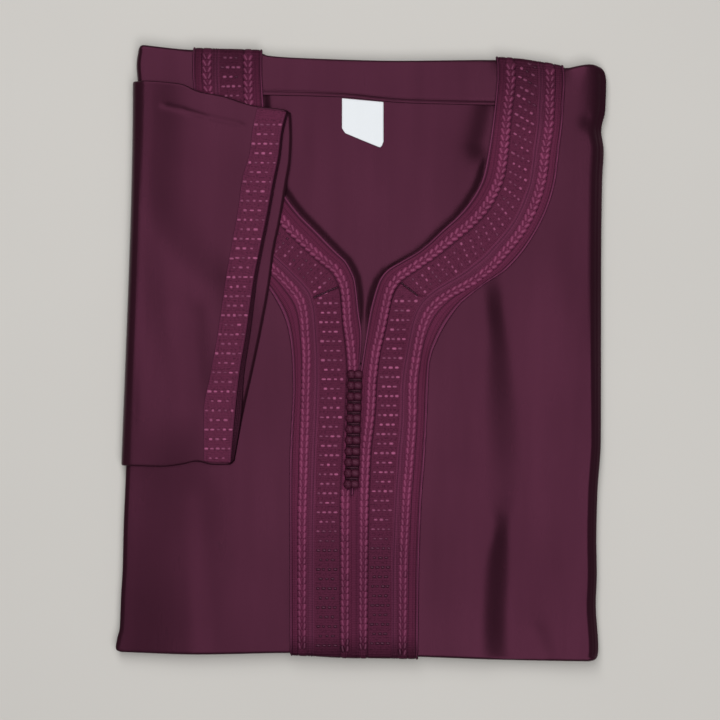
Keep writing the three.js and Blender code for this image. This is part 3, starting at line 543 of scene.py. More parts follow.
def cloth_point(across, along, lift=0.0, skirt=0.0):
    """A point of the front's outer face, moved out by lift, and down the side by skirt."""
    across, along, lift, skirt = np.broadcast_arrays(across, along, lift, skirt)
    rim_x = np.where(across < 0.5, RIM_LEFT, right_rim(along))
    rim_y = np.where(along < 0.5, RIM_BOTTOM, RIM_TOP)
    lean_x = np.maximum(0, 1 - np.minimum(across, 1 - across) * PACKET_WIDTH / rim_x)
    lean_y = np.maximum(0, 1 - np.minimum(along, 1 - along) * PACKET_LENGTH / rim_y)
    lean = np.minimum(1, np.maximum(lean_x, lean_y))
    corner = (lean_x > 0) & (lean_y > 0)
    more_x = np.where(corner, lean_y / np.maximum(lean_x, 1e-9), 0)
    more_y = np.where(corner, 2 - lean_x / np.maximum(lean_y, 1e-9), 0)
    turn = np.where(lean_x >= lean_y, more_x, more_y) * math.pi / 4
    part_x = np.where(corner, lerp(lean_x, lean * np.cos(turn), CORNER_ROUNDING), lean_x)
    part_y = np.where(corner, lerp(lean_y, lean * np.sin(turn), CORNER_ROUNDING), lean_y)
    in_x = rim_x * (1 - part_x) / PACKET_WIDTH
    in_y = rim_y * (1 - part_y) / PACKET_LENGTH
    u = np.where(corner, np.where(across < 0.5, in_x, 1 - in_x), across)
    v = np.where(corner, np.where(along < 0.5, in_y, 1 - in_y), along)
    x = lerp(left_x(v), right_x(v), u)
    y = lerp(bottom_y(u), top_y(u), v)
    side = smooth_step(across, *RIGHT_SIDE)
    height = lerp(RIM_HEIGHT, SIDE_RIM_HEIGHT * right_rim(along) / RIM_RIGHT, side)
    curve = lerp(RIM_CURVE, SIDE_RIM_CURVE, side)
    curve = lerp(curve, END_RIM_CURVE, lean_y / np.maximum(lean_x + lean_y, 1e-9))
    rise = np.maximum(0, 1 - lean**curve) ** (1 / curve)
    tuck = SKIRT_TUCK * (skirt / SKIRT_DEPTH) ** 2
    reach = np.hypot(part_x, part_y)
    outward = (lift * lean - tuck) / np.where(reach > 0, reach, 1)
    sink = trough_depth(FRONT_TROUGHS, x, y) + long_fold(x, y) + soft_waves(x, y)
    lines = gauss(lean_x[..., None] - SIDE_CREASES, SIDE_CREASE_REACH).sum(axis=-1)
    crease = SIDE_CREASE * lines * side * rise
    return np.stack([
        x + np.where(across < 0.5, -1, 1) * part_x * outward,
        y + np.where(along < 0.5, -1, 1) * part_y * outward,
        FRONT_TOP - height * (1 - rise) + lift * rise - skirt - sink * rise - crease,
    ], axis=-1)


def shares_at(x, y):
    """The shares across and along of a place seen from above."""
    across = np.full(np.shape(x), 0.5)
    along = np.full(np.shape(x), 0.5)
    for _ in range(12):
        across = (x - left_x(along)) / (right_x(along) - left_x(along))
        along = (y - bottom_y(across)) / (top_y(across) - bottom_y(across))
    return across, along


def on_cloth(x, y, lift=0.0):
    across, along = shares_at(x, y)
    return cloth_point(np.clip(across, 0, 1), np.clip(along, 0, 1), lift)


TOP_ARC = math.pi / 2 * math.hypot(RIM_TOP, RIM_HEIGHT) / math.sqrt(2)
BOTTOM_ARC = math.pi / 2 * math.hypot(RIM_BOTTOM, RIM_HEIGHT) / math.sqrt(2)


def flat_ends(x):
    """The y at which the front starts to turn down over the hem and over the shoulder."""
    across, _ = shares_at(x, np.full(np.shape(x), FLAT_LOW_Y))
    low = lerp(bottom_y(across), top_y(across), RIM_BOTTOM / PACKET_LENGTH)
    across, _ = shares_at(x, np.full(np.shape(x), FLAT_HIGH_Y))
    high = lerp(bottom_y(across), top_y(across), 1 - RIM_TOP / PACKET_LENGTH)
    return low, high


def wrapped_point(x, y, lift=0.0):
    """A place on the front's flat chart, which runs on over the hem and over the shoulder."""
    low, high = flat_ends(x)
    across, along = shares_at(x, np.clip(y, low, high))
    over = np.maximum(0, y - high)
    under = np.maximum(0, low - y)
    over_lean = np.sin(np.clip(over / TOP_ARC, 0, 1) * math.pi / 2)
    under_lean = np.sin(np.clip(under / BOTTOM_ARC, 0, 1) * math.pi / 2)
    along = np.where(over > 0, 1 - RIM_TOP * (1 - over_lean) / PACKET_LENGTH, along)
    along = np.where(under > 0, RIM_BOTTOM * (1 - under_lean) / PACKET_LENGTH, along)
    skirt = np.maximum(0, over - TOP_ARC) + np.maximum(0, under - BOTTOM_ARC)
    return cloth_point(across, along, lift, np.minimum(skirt, SKIRT_DEPTH))


def cloth_lines(step, size, low_rim, high_rim, rim_steps):
    """Shares at which a cloth has its points: close together in the rims, and even between."""
    lean = np.sin(np.linspace(1, 0, rim_steps + 1) * math.pi / 2)
    low = low_rim * (1 - lean) / size
    high = 1 - high_rim * (1 - lean[::-1]) / size
    count = max(2, round((size - low_rim - high_rim) / step))
    between = np.linspace(low_rim / size, 1 - high_rim / size, count + 1)[1:-1]
    return np.concatenate([low, between, high])


def finished(name, mesh, finish, tone=None):
    """Gives a mesh its tones and its material, and makes its object."""
    if tone is not None:
        layer = mesh.attributes.new("tone", "FLOAT", "POINT")
        layer.data.foreach_set("value", np.asarray(tone, dtype=float))
    mesh.materials.append(finish)
    mesh.shade_smooth()
    made = bpy.data.objects.new(name, mesh)
    bpy.context.scene.collection.objects.link(made)
    return made


def points_of(made):
    return np.array([vertex.co[:] for vertex in made.data.vertices])


def packet_lines(step, side_steps, end_steps):
    """Shares across and along the packet at which a layer of it has its points."""
    across = cloth_lines(step, PACKET_WIDTH, RIM_LEFT, RIM_RIGHT, side_steps)
    return across, cloth_lines(step, PACKET_LENGTH, RIM_BOTTOM, RIM_TOP, end_steps)


class Pattern:
    """Points and faces of one piece, gathered before it is made."""

    def __init__(self):
        self.points = []
        self.faces = []
        self.count = 0

    def add(self, points):
        """Adds points in any array, and gives their numbers in the same array."""
        places = np.reshape(points, (-1, 3))
        numbers = np.arange(self.count, self.count + len(places))
        self.points.append(places)
        self.count += len(places)
        return numbers.reshape(np.shape(points)[:-1])

    def cloth(self, grid, back=False):
        """Faces over a grid of point numbers, turned over if back is set."""
        a, b, c, d = grid[:-1, :-1], grid[:-1, 1:], grid[1:, 1:], grid[1:, :-1]
        order = (d, c, b, a) if back else (a, b, c, d)
        self.faces.append(np.stack(order, axis=-1).reshape(-1, 4))

    def strip(self, lower, upper):
        """Faces between two closed loops of point numbers."""
        rows = np.stack([lower, upper])
        self.cloth(np.concatenate([rows, rows[:, :1]], axis=1))

    def keep(self, wanted):
        """Drops the faces whose middle isn't wanted, and the points that go with them."""
        points = np.concatenate(self.points)
        faces = np.concatenate(self.faces)
        faces = faces[wanted(points[faces].mean(axis=1))]
        used, numbers = np.unique(faces, return_inverse=True)
        self.points = [points[used]]
        self.faces = [numbers.reshape(-1, 4)]

    def piece(self, name, finish, maps=None, tone=None):
        """Makes the object. maps gives each point's place on its UV map, and tone a number."""
        points = np.concatenate(self.points)
        faces = np.concatenate(self.faces)
        mesh = bpy.data.meshes.new(name)
        mesh.from_pydata(points.tolist(), [], faces.tolist())
        mesh.update()
        if maps is not None:
            layer = mesh.uv_layers.new(name="UVMap")
            corners = np.zeros(len(mesh.loops), dtype=int)
            mesh.loops.foreach_get("vertex_index", corners)
            layer.data.foreach_set("uv", np.asarray(maps)[corners].ravel())
        return finished(name, mesh, finish, tone)


def gauss(off, reach):
    return np.exp(-((off / reach) ** 2))


def border_of(grid):
    """The edge of a grid, as one loop that runs round it to the left."""
    return np.concatenate([grid[0, :-1], grid[:-1, -1], grid[-1, :0:-1], grid[:0:-1, 0]])


def only(made):
    """Selects one object and makes it active."""
    bpy.ops.object.select_all(action="DESELECT")
    made.select_set(True)
    bpy.context.view_layer.objects.active = made


def give_wall(made, thickness):
    """Gives a cloth its thickness, below its outer face."""
    only(made)
    wall = made.modifiers.new("Wall", "SOLIDIFY")
    wall.thickness = thickness
    wall.offset = -1
    bpy.ops.object.modifier_apply(modifier=wall.name)


def shell(pattern, top, bottom):
    """A closed wall between an upper and a lower grid of points."""
    upper, lower = pattern.add(top), pattern.add(bottom)
    pattern.cloth(upper)
    pattern.cloth(lower, back=True)
    pattern.strip(border_of(lower), border_of(upper))


def dress(made, slot, *nodes):
    """Puts a finished piece in the place of its solids."""
    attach(made, "root")
    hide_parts(*nodes)


def inside(outline, x, y):
    """True for each place inside an outline seen from above."""
    odd = np.zeros(np.shape(x), dtype=bool)
    for (x0, y0), (x1, y1) in zip(outline, np.roll(outline, -1, axis=0)):
        if y0 == y1:
            continue
        crosses = ((y0 > y) != (y1 > y)) & (x < x0 + (y - y0) * (x1 - x0) / (y1 - y0))
        odd ^= crosses
    return odd


class NeckBand:
    """One half of the neck band, laid on the front from the shoulder to the hem."""

    SECTION_STEP = 0.0011
    TURN_STEPS = 14
    EVEN_OVER = 21
    HEM_TURN = 2.2
    PATH_STEPS = 900
    NEAR_BAND = 0.55
    WALK_STEP = 0.5

    def __init__(self, sections, inner_chain, outer_chain, mitre, lean):
        self.lean = lean
        middle = (sections[:, :2] + sections[:, 2:]) / 2
        steps = np.hypot(*np.diff(middle, axis=0).T)
        run = np.concatenate([[0], np.cumsum(steps)])
        fine = np.linspace(0, run[-1], round(run[-1] / self.SECTION_STEP))
        edges = np.stack([smooth_line(run, column, fine) for column in sections.T], axis=1)
        turns = np.linspace(0, 1, self.TURN_STEPS + 1)[1:]
        before = np.repeat(edges[:1], self.TURN_STEPS, axis=0)
        after = np.repeat(edges[-1:], self.TURN_STEPS, axis=0)
        self.edges = np.concatenate([before, edges, after])
        self.over = np.concatenate([turns[::-1], np.zeros(len(edges) + self.TURN_STEPS)])
        self.under = np.concatenate([np.zeros(len(edges) + self.TURN_STEPS), turns])
        self.count = len(self.edges)
        self.chains = [self.share_of(chain) for chain in (inner_chain, outer_chain)]
        self.mitre = mitre
        self.numbers = np.arange(self.count)
        dotted = np.full(self.count, (DOTTED_FROM + DOTTED_TO) / 2)
        path = self.point(self.numbers, dotted, 0)
        steps = np.linalg.norm(np.diff(path, axis=0, prepend=path[:1]), axis=1)
        x, y = self.chart(self.numbers, dotted)
        first = np.argmax(y < self.mitre_y(x))
        self.run = np.cumsum(steps) - np.cumsum(steps)[first]
        self.turn_y = y[first]
        self.dotted = np.linspace(DOTTED_FROM, DOTTED_TO, DOTTED_PLACES)
        sections = self.numbers[:, None] * np.ones(DOTTED_PLACES)
        self.heights = self.chart(sections, self.dotted)[1]

    def share_of(self, chain):
        """How far across each section a line of chain stitch runs."""
        at = np.linspace(0, len(chain) - 1, self.PATH_STEPS)
        path = np.stack([np.interp(at, np.arange(len(chain)), row) for row in chain.T], axis=1)
        shares = []
        for inner_x, inner_y, outer_x, outer_y in self.edges:
            across = np.array([outer_x - inner_x, outer_y - inner_y])
            gap = path - (inner_x, inner_y)
            side = across[0] * gap[:, 1] - across[1] * gap[:, 0]
            share = gap @ across / (across @ across)
            crosses = (side[:-1] * side[1:] <= 0) & (np.abs(share[:-1] - 0.5) < self.NEAR_BAND)
            found = np.nonzero(crosses)[0]
            shares.append(share[found[0]] if len(found) else np.nan)
        shares = np.array(shares)
        known = ~np.isnan(shares)
        shares = np.interp(np.arange(self.count), np.nonzero(known)[0], shares[known])
        half = self.EVEN_OVER // 2
        padded = np.pad(shares, half, mode="edge")
        return np.convolve(padded, np.ones(self.EVEN_OVER) / self.EVEN_OVER, mode="valid")

    def between(self, section, values):
        """A value at a place between the band's sections."""
        return np.interp(section, self.numbers, values)

    def chart(self, section, place):
        """The flat x and y of a place across a section, where 1 and 2 are the chains."""
        edges = [self.between(section, column) for column in self.edges.T]
        inner, outer = (self.between(section, chain) for chain in self.chains)
        share = np.where(place < 1, place * inner, lerp(inner, outer, place - 1))
        share = np.where(place > 2, lerp(outer, 1, place - 2), share)
        x = lerp(edges[0], edges[2], share)
        y = lerp(edges[1], edges[3], share)
        low, high = flat_ends(x)
        y = lerp(y, high + TOP_ARC + SKIRT_DEPTH, self.between(section, self.over))
        return x, lerp(y, low - BOTTOM_ARC - SKIRT_DEPTH, self.between(section, self.under))

    def point(self, section, place, lift):
        section, place, lift = np.broadcast_arrays(section, place, lift)
        x, y = self.chart(section.astype(float), place.astype(float))
        return wrapped_point(x, y, lift - trough_depth(self.mitre, x, y))

    def mitre_y(self, x):
        """The height of the mitre seam, which runs level beyond its ends."""
        x0, y0, x1, y1 = self.mitre[0][:4]
        return np.interp(x, [x0, x1], [y0, y1])

    def down_band(self, x, y, section, place):
        """Distance down the band from its mitre. The dotted part runs straight below it."""
        run = self.between(section, self.run)
        level = (y < self.mitre_y(x)) & (place > DOTTED_FROM - DOTTED_MARGIN)
        level &= place < DOTTED_TO + DOTTED_MARGIN
        return np.where(level, self.turn_y - y, run)

    def row_lean(self, number):
        """How far a row of stitches leans down the band for each place across it."""
        return self.lean * smooth_step(-number, *LEANING_ROWS)

    def row(self, number, pitch, places):
        """Sections of a row of stitches: across the band above the mitre, and level below."""
        if number <= 0:
            down = self.row_lean(number) * (places - (DOTTED_FROM + DOTTED_TO) / 2)
            return np.interp(number * pitch + down, self.run, self.numbers)
        level = self.turn_y - number * pitch
        found = [np.interp(-level, -heights, self.numbers) for heights in self.heights.T]
        return np.interp(places, self.dotted, found)

    def turned_down(self, section):
        """How far a section has turned down over the shoulder or over the hem."""
        return self.between(section, self.over) + self.HEM_TURN * self.between(section, self.under)

    def walk(self, place, pitch):
        """Sections at even distances along a line at one place across the band."""
        sections = np.arange(0, self.count - 1, self.WALK_STEP)
        path = self.point(sections, place, 0)
        run = np.concatenate([[0], np.cumsum(np.linalg.norm(np.diff(path, axis=0), axis=1))])
        return np.interp(np.arange(pitch, run[-1], pitch), run, sections)

    def frame_at(self, section, place, lift):
        """The point, the way along, the way across and the way out of the band there."""
        here = self.point(section, place, lift)
        along = self.point(section + 1, place, lift) - self.point(section - 1, place, lift)
        near, far = place - PLACE_STEP, place + PLACE_STEP
        across = self.point(section, far, lift) - self.point(section, near, lift)
        along /= np.linalg.norm(along, axis=-1, keepdims=True)
        out = np.cross(across, along)
        out *= np.sign(out[..., 2:3] + 1e-12)
        out /= np.linalg.norm(out, axis=-1, keepdims=True)
        return here, along, np.cross(out, along), out


# A stitch is fuller near its ends than a ball: from which share of its half, and how much
END_FROM = 0.7
END_FULLNESS = 1.35


def stitch_shape():
    """One raised stitch, a unit long to each side of its middle, along X."""
    bpy.ops.object.select_all(action="DESELECT")
    bpy.ops.mesh.primitive_uv_sphere_add(segments=6, ring_count=5, radius=1)
    ball = bpy.context.active_object
    points = points_of(ball)
    corners = [[*face.vertices] for face in ball.data.polygons]
    bpy.data.objects.remove(ball, do_unlink=True)
    points[:, :2] *= np.where(np.abs(points[:, 2:]) > END_FROM, END_FULLNESS, 1)
    points = np.stack([points[:, 2], points[:, 0], points[:, 1]], axis=1)
    faces = np.array([(face + face[-1:])[:4] for face in corners])
    return points, faces


def sew(name, finish, centres, lengths, widths, outs, sizes, tones):
    """Joins copies of the stitch, each with its own place, turn and half sizes."""
    shape, faces = stitch_shape()
    turned = (
        shape[None, :, 0:1] * (lengths * sizes[:, 0:1])[:, None, :]
        + shape[None, :, 1:2] * (widths * sizes[:, 1:2])[:, None, :]
        + shape[None, :, 2:3] * (outs * sizes[:, 2:3])[:, None, :]
    )
    points = (turned + centres[:, None, :]).reshape(-1, 3)
    step = np.arange(len(centres)) * len(shape)
    all_faces = (faces[None] + step[:, None, None]).reshape(-1, 4)
    mesh = bpy.data.meshes.new(name)
    mesh.from_pydata(points.tolist(), [], [list(dict.fromkeys(f)) for f in all_faces.tolist()])
    return finished(name, mesh, finish, np.repeat(tones, len(shape)))


def tape_middle(y):
    """Where the middle of the knots' tape is, at a height down the slit."""
    share = (KNOT_FIRST_Y - y) / (KNOT_FIRST_Y - KNOT_LAST_Y)
    return (lerp(*KNOT_X, share) + lerp(*LOOP_X, share)) / 2


def sleeve_ends(y):
    return [smooth_line(SLEEVE[:, 0], column, y) for column in SLEEVE.T[1:]]


def sleeve_place(x, down):
    low = smooth_line(*SLEEVE_LOWER_FOLD.T, x)
    high = smooth_line(*SLEEVE_UPPER_FOLD.T, x)
    return lerp(low, high, down)


def sleeve_climb(x, y):
    """How far the sleeve stands off the front where it climbs over the neck band."""
    edge = smooth_line(LEFT_BAND[:, 3], LEFT_BAND[:, 2], y)
    start, end = edge - SLEEVE_CLIMB_START, edge - SLEEVE_CLIMB_END
    return SLEEVE_CLIMB * smooth_step(x, start, end)


def sleeve_from(y):
    _, along = shares_at(np.full(np.shape(y), SLEEVE_SIDE_X), y)
    return left_x(along)


def sleeve_point(reach, down, height):
    """A point of the sleeve. reach is below 0 round the side edge, 0 to 1 over the plain
    cloth and 1 to 2 over the cuff band; down runs from the lower to the upper fold."""
    reach, down, height = np.broadcast_arrays(reach, down, height)
    y = lerp(SLEEVE_BOTTOM_Y, SLEEVE_TOP_Y, down)
    band, cuff, rear = sleeve_ends(y)
    level = height / SLEEVE_THICKNESS
    end = lerp(rear, cuff, smooth_step(level, *SLEEVE_EDGE_SPAN))
    edge = sleeve_from(y)
    over = end - (cuff - band)
    x = lerp(edge + RIM_LEFT, over, np.clip(reach, 0, 1))
    x = np.where(reach > 1, lerp(over, end, reach - 1), x)
    at_y = sleeve_place(x, down)
    upper = smooth_step(level, *SLEEVE_TROUGH_SPAN) * smooth_step(reach, *SLEEVE_TROUGH_REACH)
    waves = SLEEVE_WAVES * soft_waves(1.7 * x, 1.3 * at_y)
    sink = trough_depth(SLEEVE_TROUGHS, x, at_y) + waves
    lift = SLEEVE_REST + height
    flat = on_cloth(x, at_y, lift + sleeve_climb(x, at_y) - sink * upper)
    _, along = shares_at(edge, sleeve_place(edge, down))
    lean = np.sin(np.clip(-reach, 0, 1) * math.pi / 2)
    skirt = np.clip(-reach - 1, 0, 1) * SKIRT_DEPTH
    side = cloth_point(RIM_LEFT * (1 - lean) / PACKET_WIDTH, along, lift, skirt)
    return np.where((reach < 0)[..., None], side, flat)


def node(tree, kind, place, **values):
    """Adds a shader node and sets its settings and its inputs by name."""
    made = tree.nodes.new(kind)
    made.location = place
    for key, value in values.items():
        if hasattr(made, key):
            setattr(made, key, value)
        else:
            made.inputs[key.replace("_", " ")].default_value = value
    return made


def effect_group(name, inputs, outputs):
    """A shader node group with named inputs and outputs."""
    tree = bpy.data.node_groups.new(name, "ShaderNodeTree")
    for label, kind, value in inputs:
        socket = tree.interface.new_socket(label, in_out="INPUT", socket_type=kind)
        if value is not None:
            socket.default_value = value
    for label, kind in outputs:
        tree.interface.new_socket(label, in_out="OUTPUT", socket_type=kind)
    entry = node(tree, "NodeGroupInput", (-900, 0))
    leave = node(tree, "NodeGroupOutput", (700, 0))
    return tree, entry, leave


def maths(tree, operation, place, *values):
    """A Math node fed by sockets or numbers."""
    made = node(tree, "ShaderNodeMath", place, operation=operation)
    for slot_in, value in zip(made.inputs, values):
        if isinstance(value, bpy.types.NodeSocket):
            tree.links.new(value, slot_in)
        else:
            slot_in.default_value = value
    return made.outputs[0]


def wave(tree, kind, level, along, pitch):
    """A sine or cosine of a distance, with its nodes in one row of the tree."""
    turn = maths(tree, "DIVIDE", (-700, level), 2 * math.pi, pitch)
    turn = maths(tree, "MULTIPLY", (-540, level), turn, along)
    return maths(tree, kind, (-380, level), turn)


def satin_group():
    """Fine floating threads, and the slow drift of tone that pressed satin has."""
    tree, entry, leave = effect_group(
        "Satin Threads",
        [
            ("Place", "NodeSocketVector", None),
            ("Thread Pitch", "NodeSocketFloat", 0.0005),
            ("Drift Size", "NodeSocketFloat", 0.09),
            ("Drift", "NodeSocketFloat", 0.1),
        ],
        [("Tone", "NodeSocketFloat"), ("Height", "NodeSocketFloat")],
    )
    link = tree.links.new
    split = node(tree, "ShaderNodeSeparateXYZ", (-700, 200))
    link(entry.outputs["Place"], split.inputs[0])
    turn = maths(tree, "DIVIDE", (-700, 0), 2 * math.pi, entry.outputs["Thread Pitch"])
    warp = maths(tree, "MULTIPLY", (-500, 200), split.outputs["X"], turn)
    warp = maths(tree, "SINE", (-340, 200), warp)
    weft = maths(tree, "MULTIPLY", (-500, 60), split.outputs["Y"], turn)
    weft = maths(tree, "MULTIPLY", (-340, 60), weft, 0.27)
    weft = maths(tree, "SINE", (-180, 60), weft)
    weft = maths(tree, "MULTIPLY", (-20, 60), weft, 0.5)
    link(maths(tree, "ADD", (140, 160), warp, weft), leave.inputs["Height"])
    detail = maths(tree, "DIVIDE", (-700, -160), 1.0, entry.outputs["Drift Size"])
    broad = node(tree, "ShaderNodeTexNoise", (-500, -160), Detail=2.0, Roughness=0.45)
    link(entry.outputs["Place"], broad.inputs["Vector"])
    link(detail, broad.inputs["Scale"])
    stretch = node(tree, "ShaderNodeMapping", (-500, -420), Scale=(60.0, 7.0, 20.0))
    link(entry.outputs["Place"], stretch.inputs["Vector"])
    streak = node(tree, "ShaderNodeTexNoise", (-300, -420), Scale=1.0, Detail=3.0)
    link(stretch.outputs[0], streak.inputs["Vector"])
    both = maths(tree, "ADD", (-100, -260), broad.outputs["Fac"], streak.outputs["Fac"])
    both = maths(tree, "SUBTRACT", (60, -260), both, 1.0)
    both = maths(tree, "MULTIPLY", (220, -260), both, entry.outputs["Drift"])
    link(maths(tree, "ADD", (380, -260), both, 1.0), leave.inputs["Tone"])
    return tree


def braid_group():
    """Silk braid on a band's own map: ribs across its length and strands along it."""
    tree, entry, leave = effect_group(
        "Silk Braid",
        [
            ("Map", "NodeSocketVector", None),
            ("Rib Pitch", "NodeSocketFloat", 0.0019),
            ("Strand Pitch", "NodeSocketFloat", 0.0011),
            ("Row Pitch", "NodeSocketFloat", 0.0076),
        ],
        [
            ("Tone", "NodeSocketFloat"),
            ("Height", "NodeSocketFloat"),
            ("Row", "NodeSocketFloat"),
        ],
    )
    link = tree.links.new
    split = node(tree, "ShaderNodeSeparateXYZ", (-700, 200))
    link(entry.outputs["Map"], split.inputs[0])
    rib = wave(tree, "SINE", 0, split.outputs["Y"], entry.outputs["Rib Pitch"])
    strand = wave(tree, "SINE", -160, split.outputs["X"], entry.outputs["Strand Pitch"])
    both = maths(tree, "ADD", (-220, -60), rib, strand)
    grain = node(tree, "ShaderNodeTexNoise", (-540, -360), Scale=900.0, Detail=2.0)
    link(entry.outputs["Map"], grain.inputs["Vector"])
    rough = maths(tree, "MULTIPLY", (-380, -360), grain.outputs["Fac"], 1.6)
    height = maths(tree, "ADD", (-60, -160), both, rough)
    link(height, leave.inputs["Height"])
    # Tone follows the height: painted shade between the ribs and strands, with random tone from the
    # grain
    tone = maths(tree, "MULTIPLY", (100, -60), height, BRAID_TONE[0])
    link(maths(tree, "ADD", (260, -60), tone, BRAID_TONE[1]), leave.inputs["Tone"])
    speck = node(tree, "ShaderNodeTexNoise", (-540, -560), Scale=620.0, Detail=1.0)
    link(entry.outputs["Map"], speck.inputs["Vector"])
    dark = node(tree, "ShaderNodeMapRange", (-220, -560), From_Min=0.48, From_Max=0.62)
    link(speck.outputs["Fac"], dark.inputs["Value"])
    row = wave(tree, "COSINE", 420, split.outputs["Y"], entry.outputs["Row Pitch"])
    row = maths(tree, "MULTIPLY_ADD", (-220, 420), row, -0.5, 0.5)
    row = maths(tree, "POWER", (-60, 420), row, 4.0)
    row = maths(tree, "MULTIPLY_ADD", (100, 420), row, *ROW_SHADE)
    link(maths(tree, "MULTIPLY", (260, 420), row, dark.outputs["Result"]), leave.inputs["Row"])
    return tree


def shared_group(name, builder):
    return bpy.data.node_groups.get(name) or builder()


def new_finish(name, roughness, gloss=0.5, gloss_tint=(1, 1, 1)):
    """A material with its shader, whose even values are set on the shader itself."""
    finish = bpy.data.materials.new(name)
    finish.use_nodes = True
    tree = finish.node_tree
    shader = tree.nodes["Principled BSDF"]
    shader.inputs["Roughness"].default_value = roughness
    shader.inputs["Specular IOR Level"].default_value = gloss
    shader.inputs["Specular Tint"].default_value = (*gloss_tint, 1)
    return finish, tree, shader


def tinted(tree, shader, colour, tone):
    """Feeds the shader a colour, or a colour socket, made lighter and darker by a tone."""
    mix = node(tree, "ShaderNodeMix", (-260, 200), data_type="RGBA", blend_type="MULTIPLY")
    mix.inputs["Factor"].default_value = 1
    if isinstance(colour, bpy.types.NodeSocket):
        tree.links.new(colour, mix.inputs["A"])
    else:
        mix.inputs["A"].default_value = (*colour, 1)
    tree.links.new(tone, mix.inputs["B"])
    tree.links.new(mix.outputs["Result"], shader.inputs["Base Color"])


def raised(tree, shader, height, distance, strength):
    bump = node(tree, "ShaderNodeBump", (-260, -200), Strength=strength, Distance=distance)
    tree.links.new(height, bump.inputs["Height"])
    tree.links.new(bump.outputs["Normal"], shader.inputs["Normal"])


def woven(tree, shader, colour, pitch, drift, bump):
    """Gives the shader a weave of fine threads, and returns their tone."""
    place = node(tree, "ShaderNodeTexCoord", (-1100, 0))
    threads = node(tree, "ShaderNodeGroup", (-800, 0))
    threads.node_tree = shared_group("Satin Threads", satin_group)
    threads.inputs["Thread Pitch"].default_value = pitch
    threads.inputs["Drift"].default_value = drift
    tree.links.new(place.outputs["Object"], threads.inputs["Place"])
    tinted(tree, shader, colour, threads.outputs["Tone"])
    raised(tree, shader, threads.outputs["Height"], *bump)
    return threads.outputs["Tone"]


def ranged(tree, place, value, span, result):
    """A Map Range node that takes a value from one span to another."""
    made = node(tree, "ShaderNodeMapRange", place, From_Min=span[0], From_Max=span[1])
    made.inputs["To Min"].default_value, made.inputs["To Max"].default_value = result
    tree.links.new(value, made.inputs["Value"])
    return made.outputs["Result"]


def satin_finish(name, colour):
    """Satin with its threads, its drift of tone and a soft uneven gloss."""
    if name in bpy.data.materials:
        return bpy.data.materials[name]
    finish, tree, shader = new_finish(name, *SATIN_SHEEN)
    pitch = bpy.context.scene.gandoura_satin.thread_pitch
    tone = woven(tree, shader, colour, pitch, SATIN_DRIFT, SATIN_BUMP)
    rough = ranged(tree, (-500, -60), tone, DRIFT_TONES, DRIFT_ROUGHNESS)
    tree.links.new(rough, shader.inputs["Roughness"])
    return finish


def band_finish(name, tones, span, dotted, ends=None):
    """Band cloth: each line of braid has its own tone, from the place across the band."""
    finish, tree, shader = new_finish(name, *BAND_SHEEN)
    across = node(tree, "ShaderNodeAttribute", (-1100, 300), attribute_name="tone")
    ramp = node(tree, "ShaderNodeValToRGB", (-800, 300))
    stops = ramp.color_ramp.elements
    for spare in list(stops)[1:]:
        stops.remove(spare)
    for count, (place, colour) in enumerate(tones):
        stop = stops[0] if count == 0 else stops.new(place / span)
        stop.position = place / span
        stop.color = (*screen_colour(*colour), 1)
    tree.links.new(across.outputs["Fac"], ramp.inputs["Fac"])
    place = node(tree, "ShaderNodeUVMap", (-1100, -100), uv_map="UVMap")
    braid = node(tree, "ShaderNodeGroup", (-800, -100))
    braid.node_tree = shared_group("Silk Braid", braid_group)
    braid.inputs["Row Pitch"].default_value = bpy.context.scene.gandoura_trim.row_pitch
    tree.links.new(place.outputs["UV"], braid.inputs["Map"])
    after = maths(tree, "GREATER_THAN", (-800, 60), across.outputs["Fac"], dotted[0] / span)
    before = maths(tree, "LESS_THAN", (-800, 0), across.outputs["Fac"], dotted[1] / span)
    rows = maths(tree, "MULTIPLY", (-640, 60), after, before)
    rows = maths(tree, "MULTIPLY", (-640, 0), rows, braid.outputs["Row"])
    rows = maths(tree, "MULTIPLY_ADD", (-480, 60), rows, -0.5, 1)
    tone = maths(tree, "MULTIPLY", (-480, 0), rows, braid.outputs["Tone"])
    # Painted shade: the band's colour darkens towards the shoulder, over its foot and at the hem
    if ends is not None:
        down = node(tree, "ShaderNodeSeparateXYZ", (-800, -400))
        tree.links.new(place.outputs["UV"], down.inputs[0])
        top, foot = ends
        shades = [((top, top + SHOULDER_SHADE_REACH), (1 - SHOULDER_SHADE, 1))]
        for span, shade in ((FOOT_SHADE_SPAN, FOOT_SHADE), (HEM_SHADE_SPAN, HEM_SHADE)):
            shades.append(((foot - span[0], foot - span[1]), (1, 1 - shade)))
        for step, (span, result) in enumerate(shades):
            shade = ranged(tree, (-640, -400 - 260 * step), down.outputs["Y"], span, result)
            tone = maths(tree, "MULTIPLY", (-420 + 80 * step, 0), tone, shade)
    tinted(tree, shader, ramp.outputs["Color"], tone)
    raised(tree, shader, braid.outputs["Height"], *BRAID_BUMP)
    return finish


def corded_finish(name, colour, sheen, tones, grain, bump):
    """Thread or cord, whose stitches each have their own tone, with fine strands."""
    if name in bpy.data.materials:
        return bpy.data.materials[name]
    finish, tree, shader = new_finish(name, *sheen)
    own = node(tree, "ShaderNodeAttribute", (-900, 200), attribute_name="tone")
    tone = maths(tree, "MULTIPLY_ADD", (-640, 200), own.outputs["Fac"], *tones)
    tinted(tree, shader, colour, tone)
    place = node(tree, "ShaderNodeTexCoord", (-900, -200))
    scale, detail = grain
    strands = node(tree, "ShaderNodeTexNoise", (-640, -200), Scale=scale, Detail=detail)
    tree.links.new(place.outputs["Object"], strands.inputs["Vector"])
    raised(tree, shader, strands.outputs["Fac"], *bump)
    return finish


def thread_finish(name, colour, tones):
    return corded_finish(name, colour, THREAD_SHEEN, tones, THREAD_GRAIN, THREAD_BUMP)


def chain_finish(trim):
    return thread_finish("Silk Chain", trim.thread_colour, CHAIN_TONES)


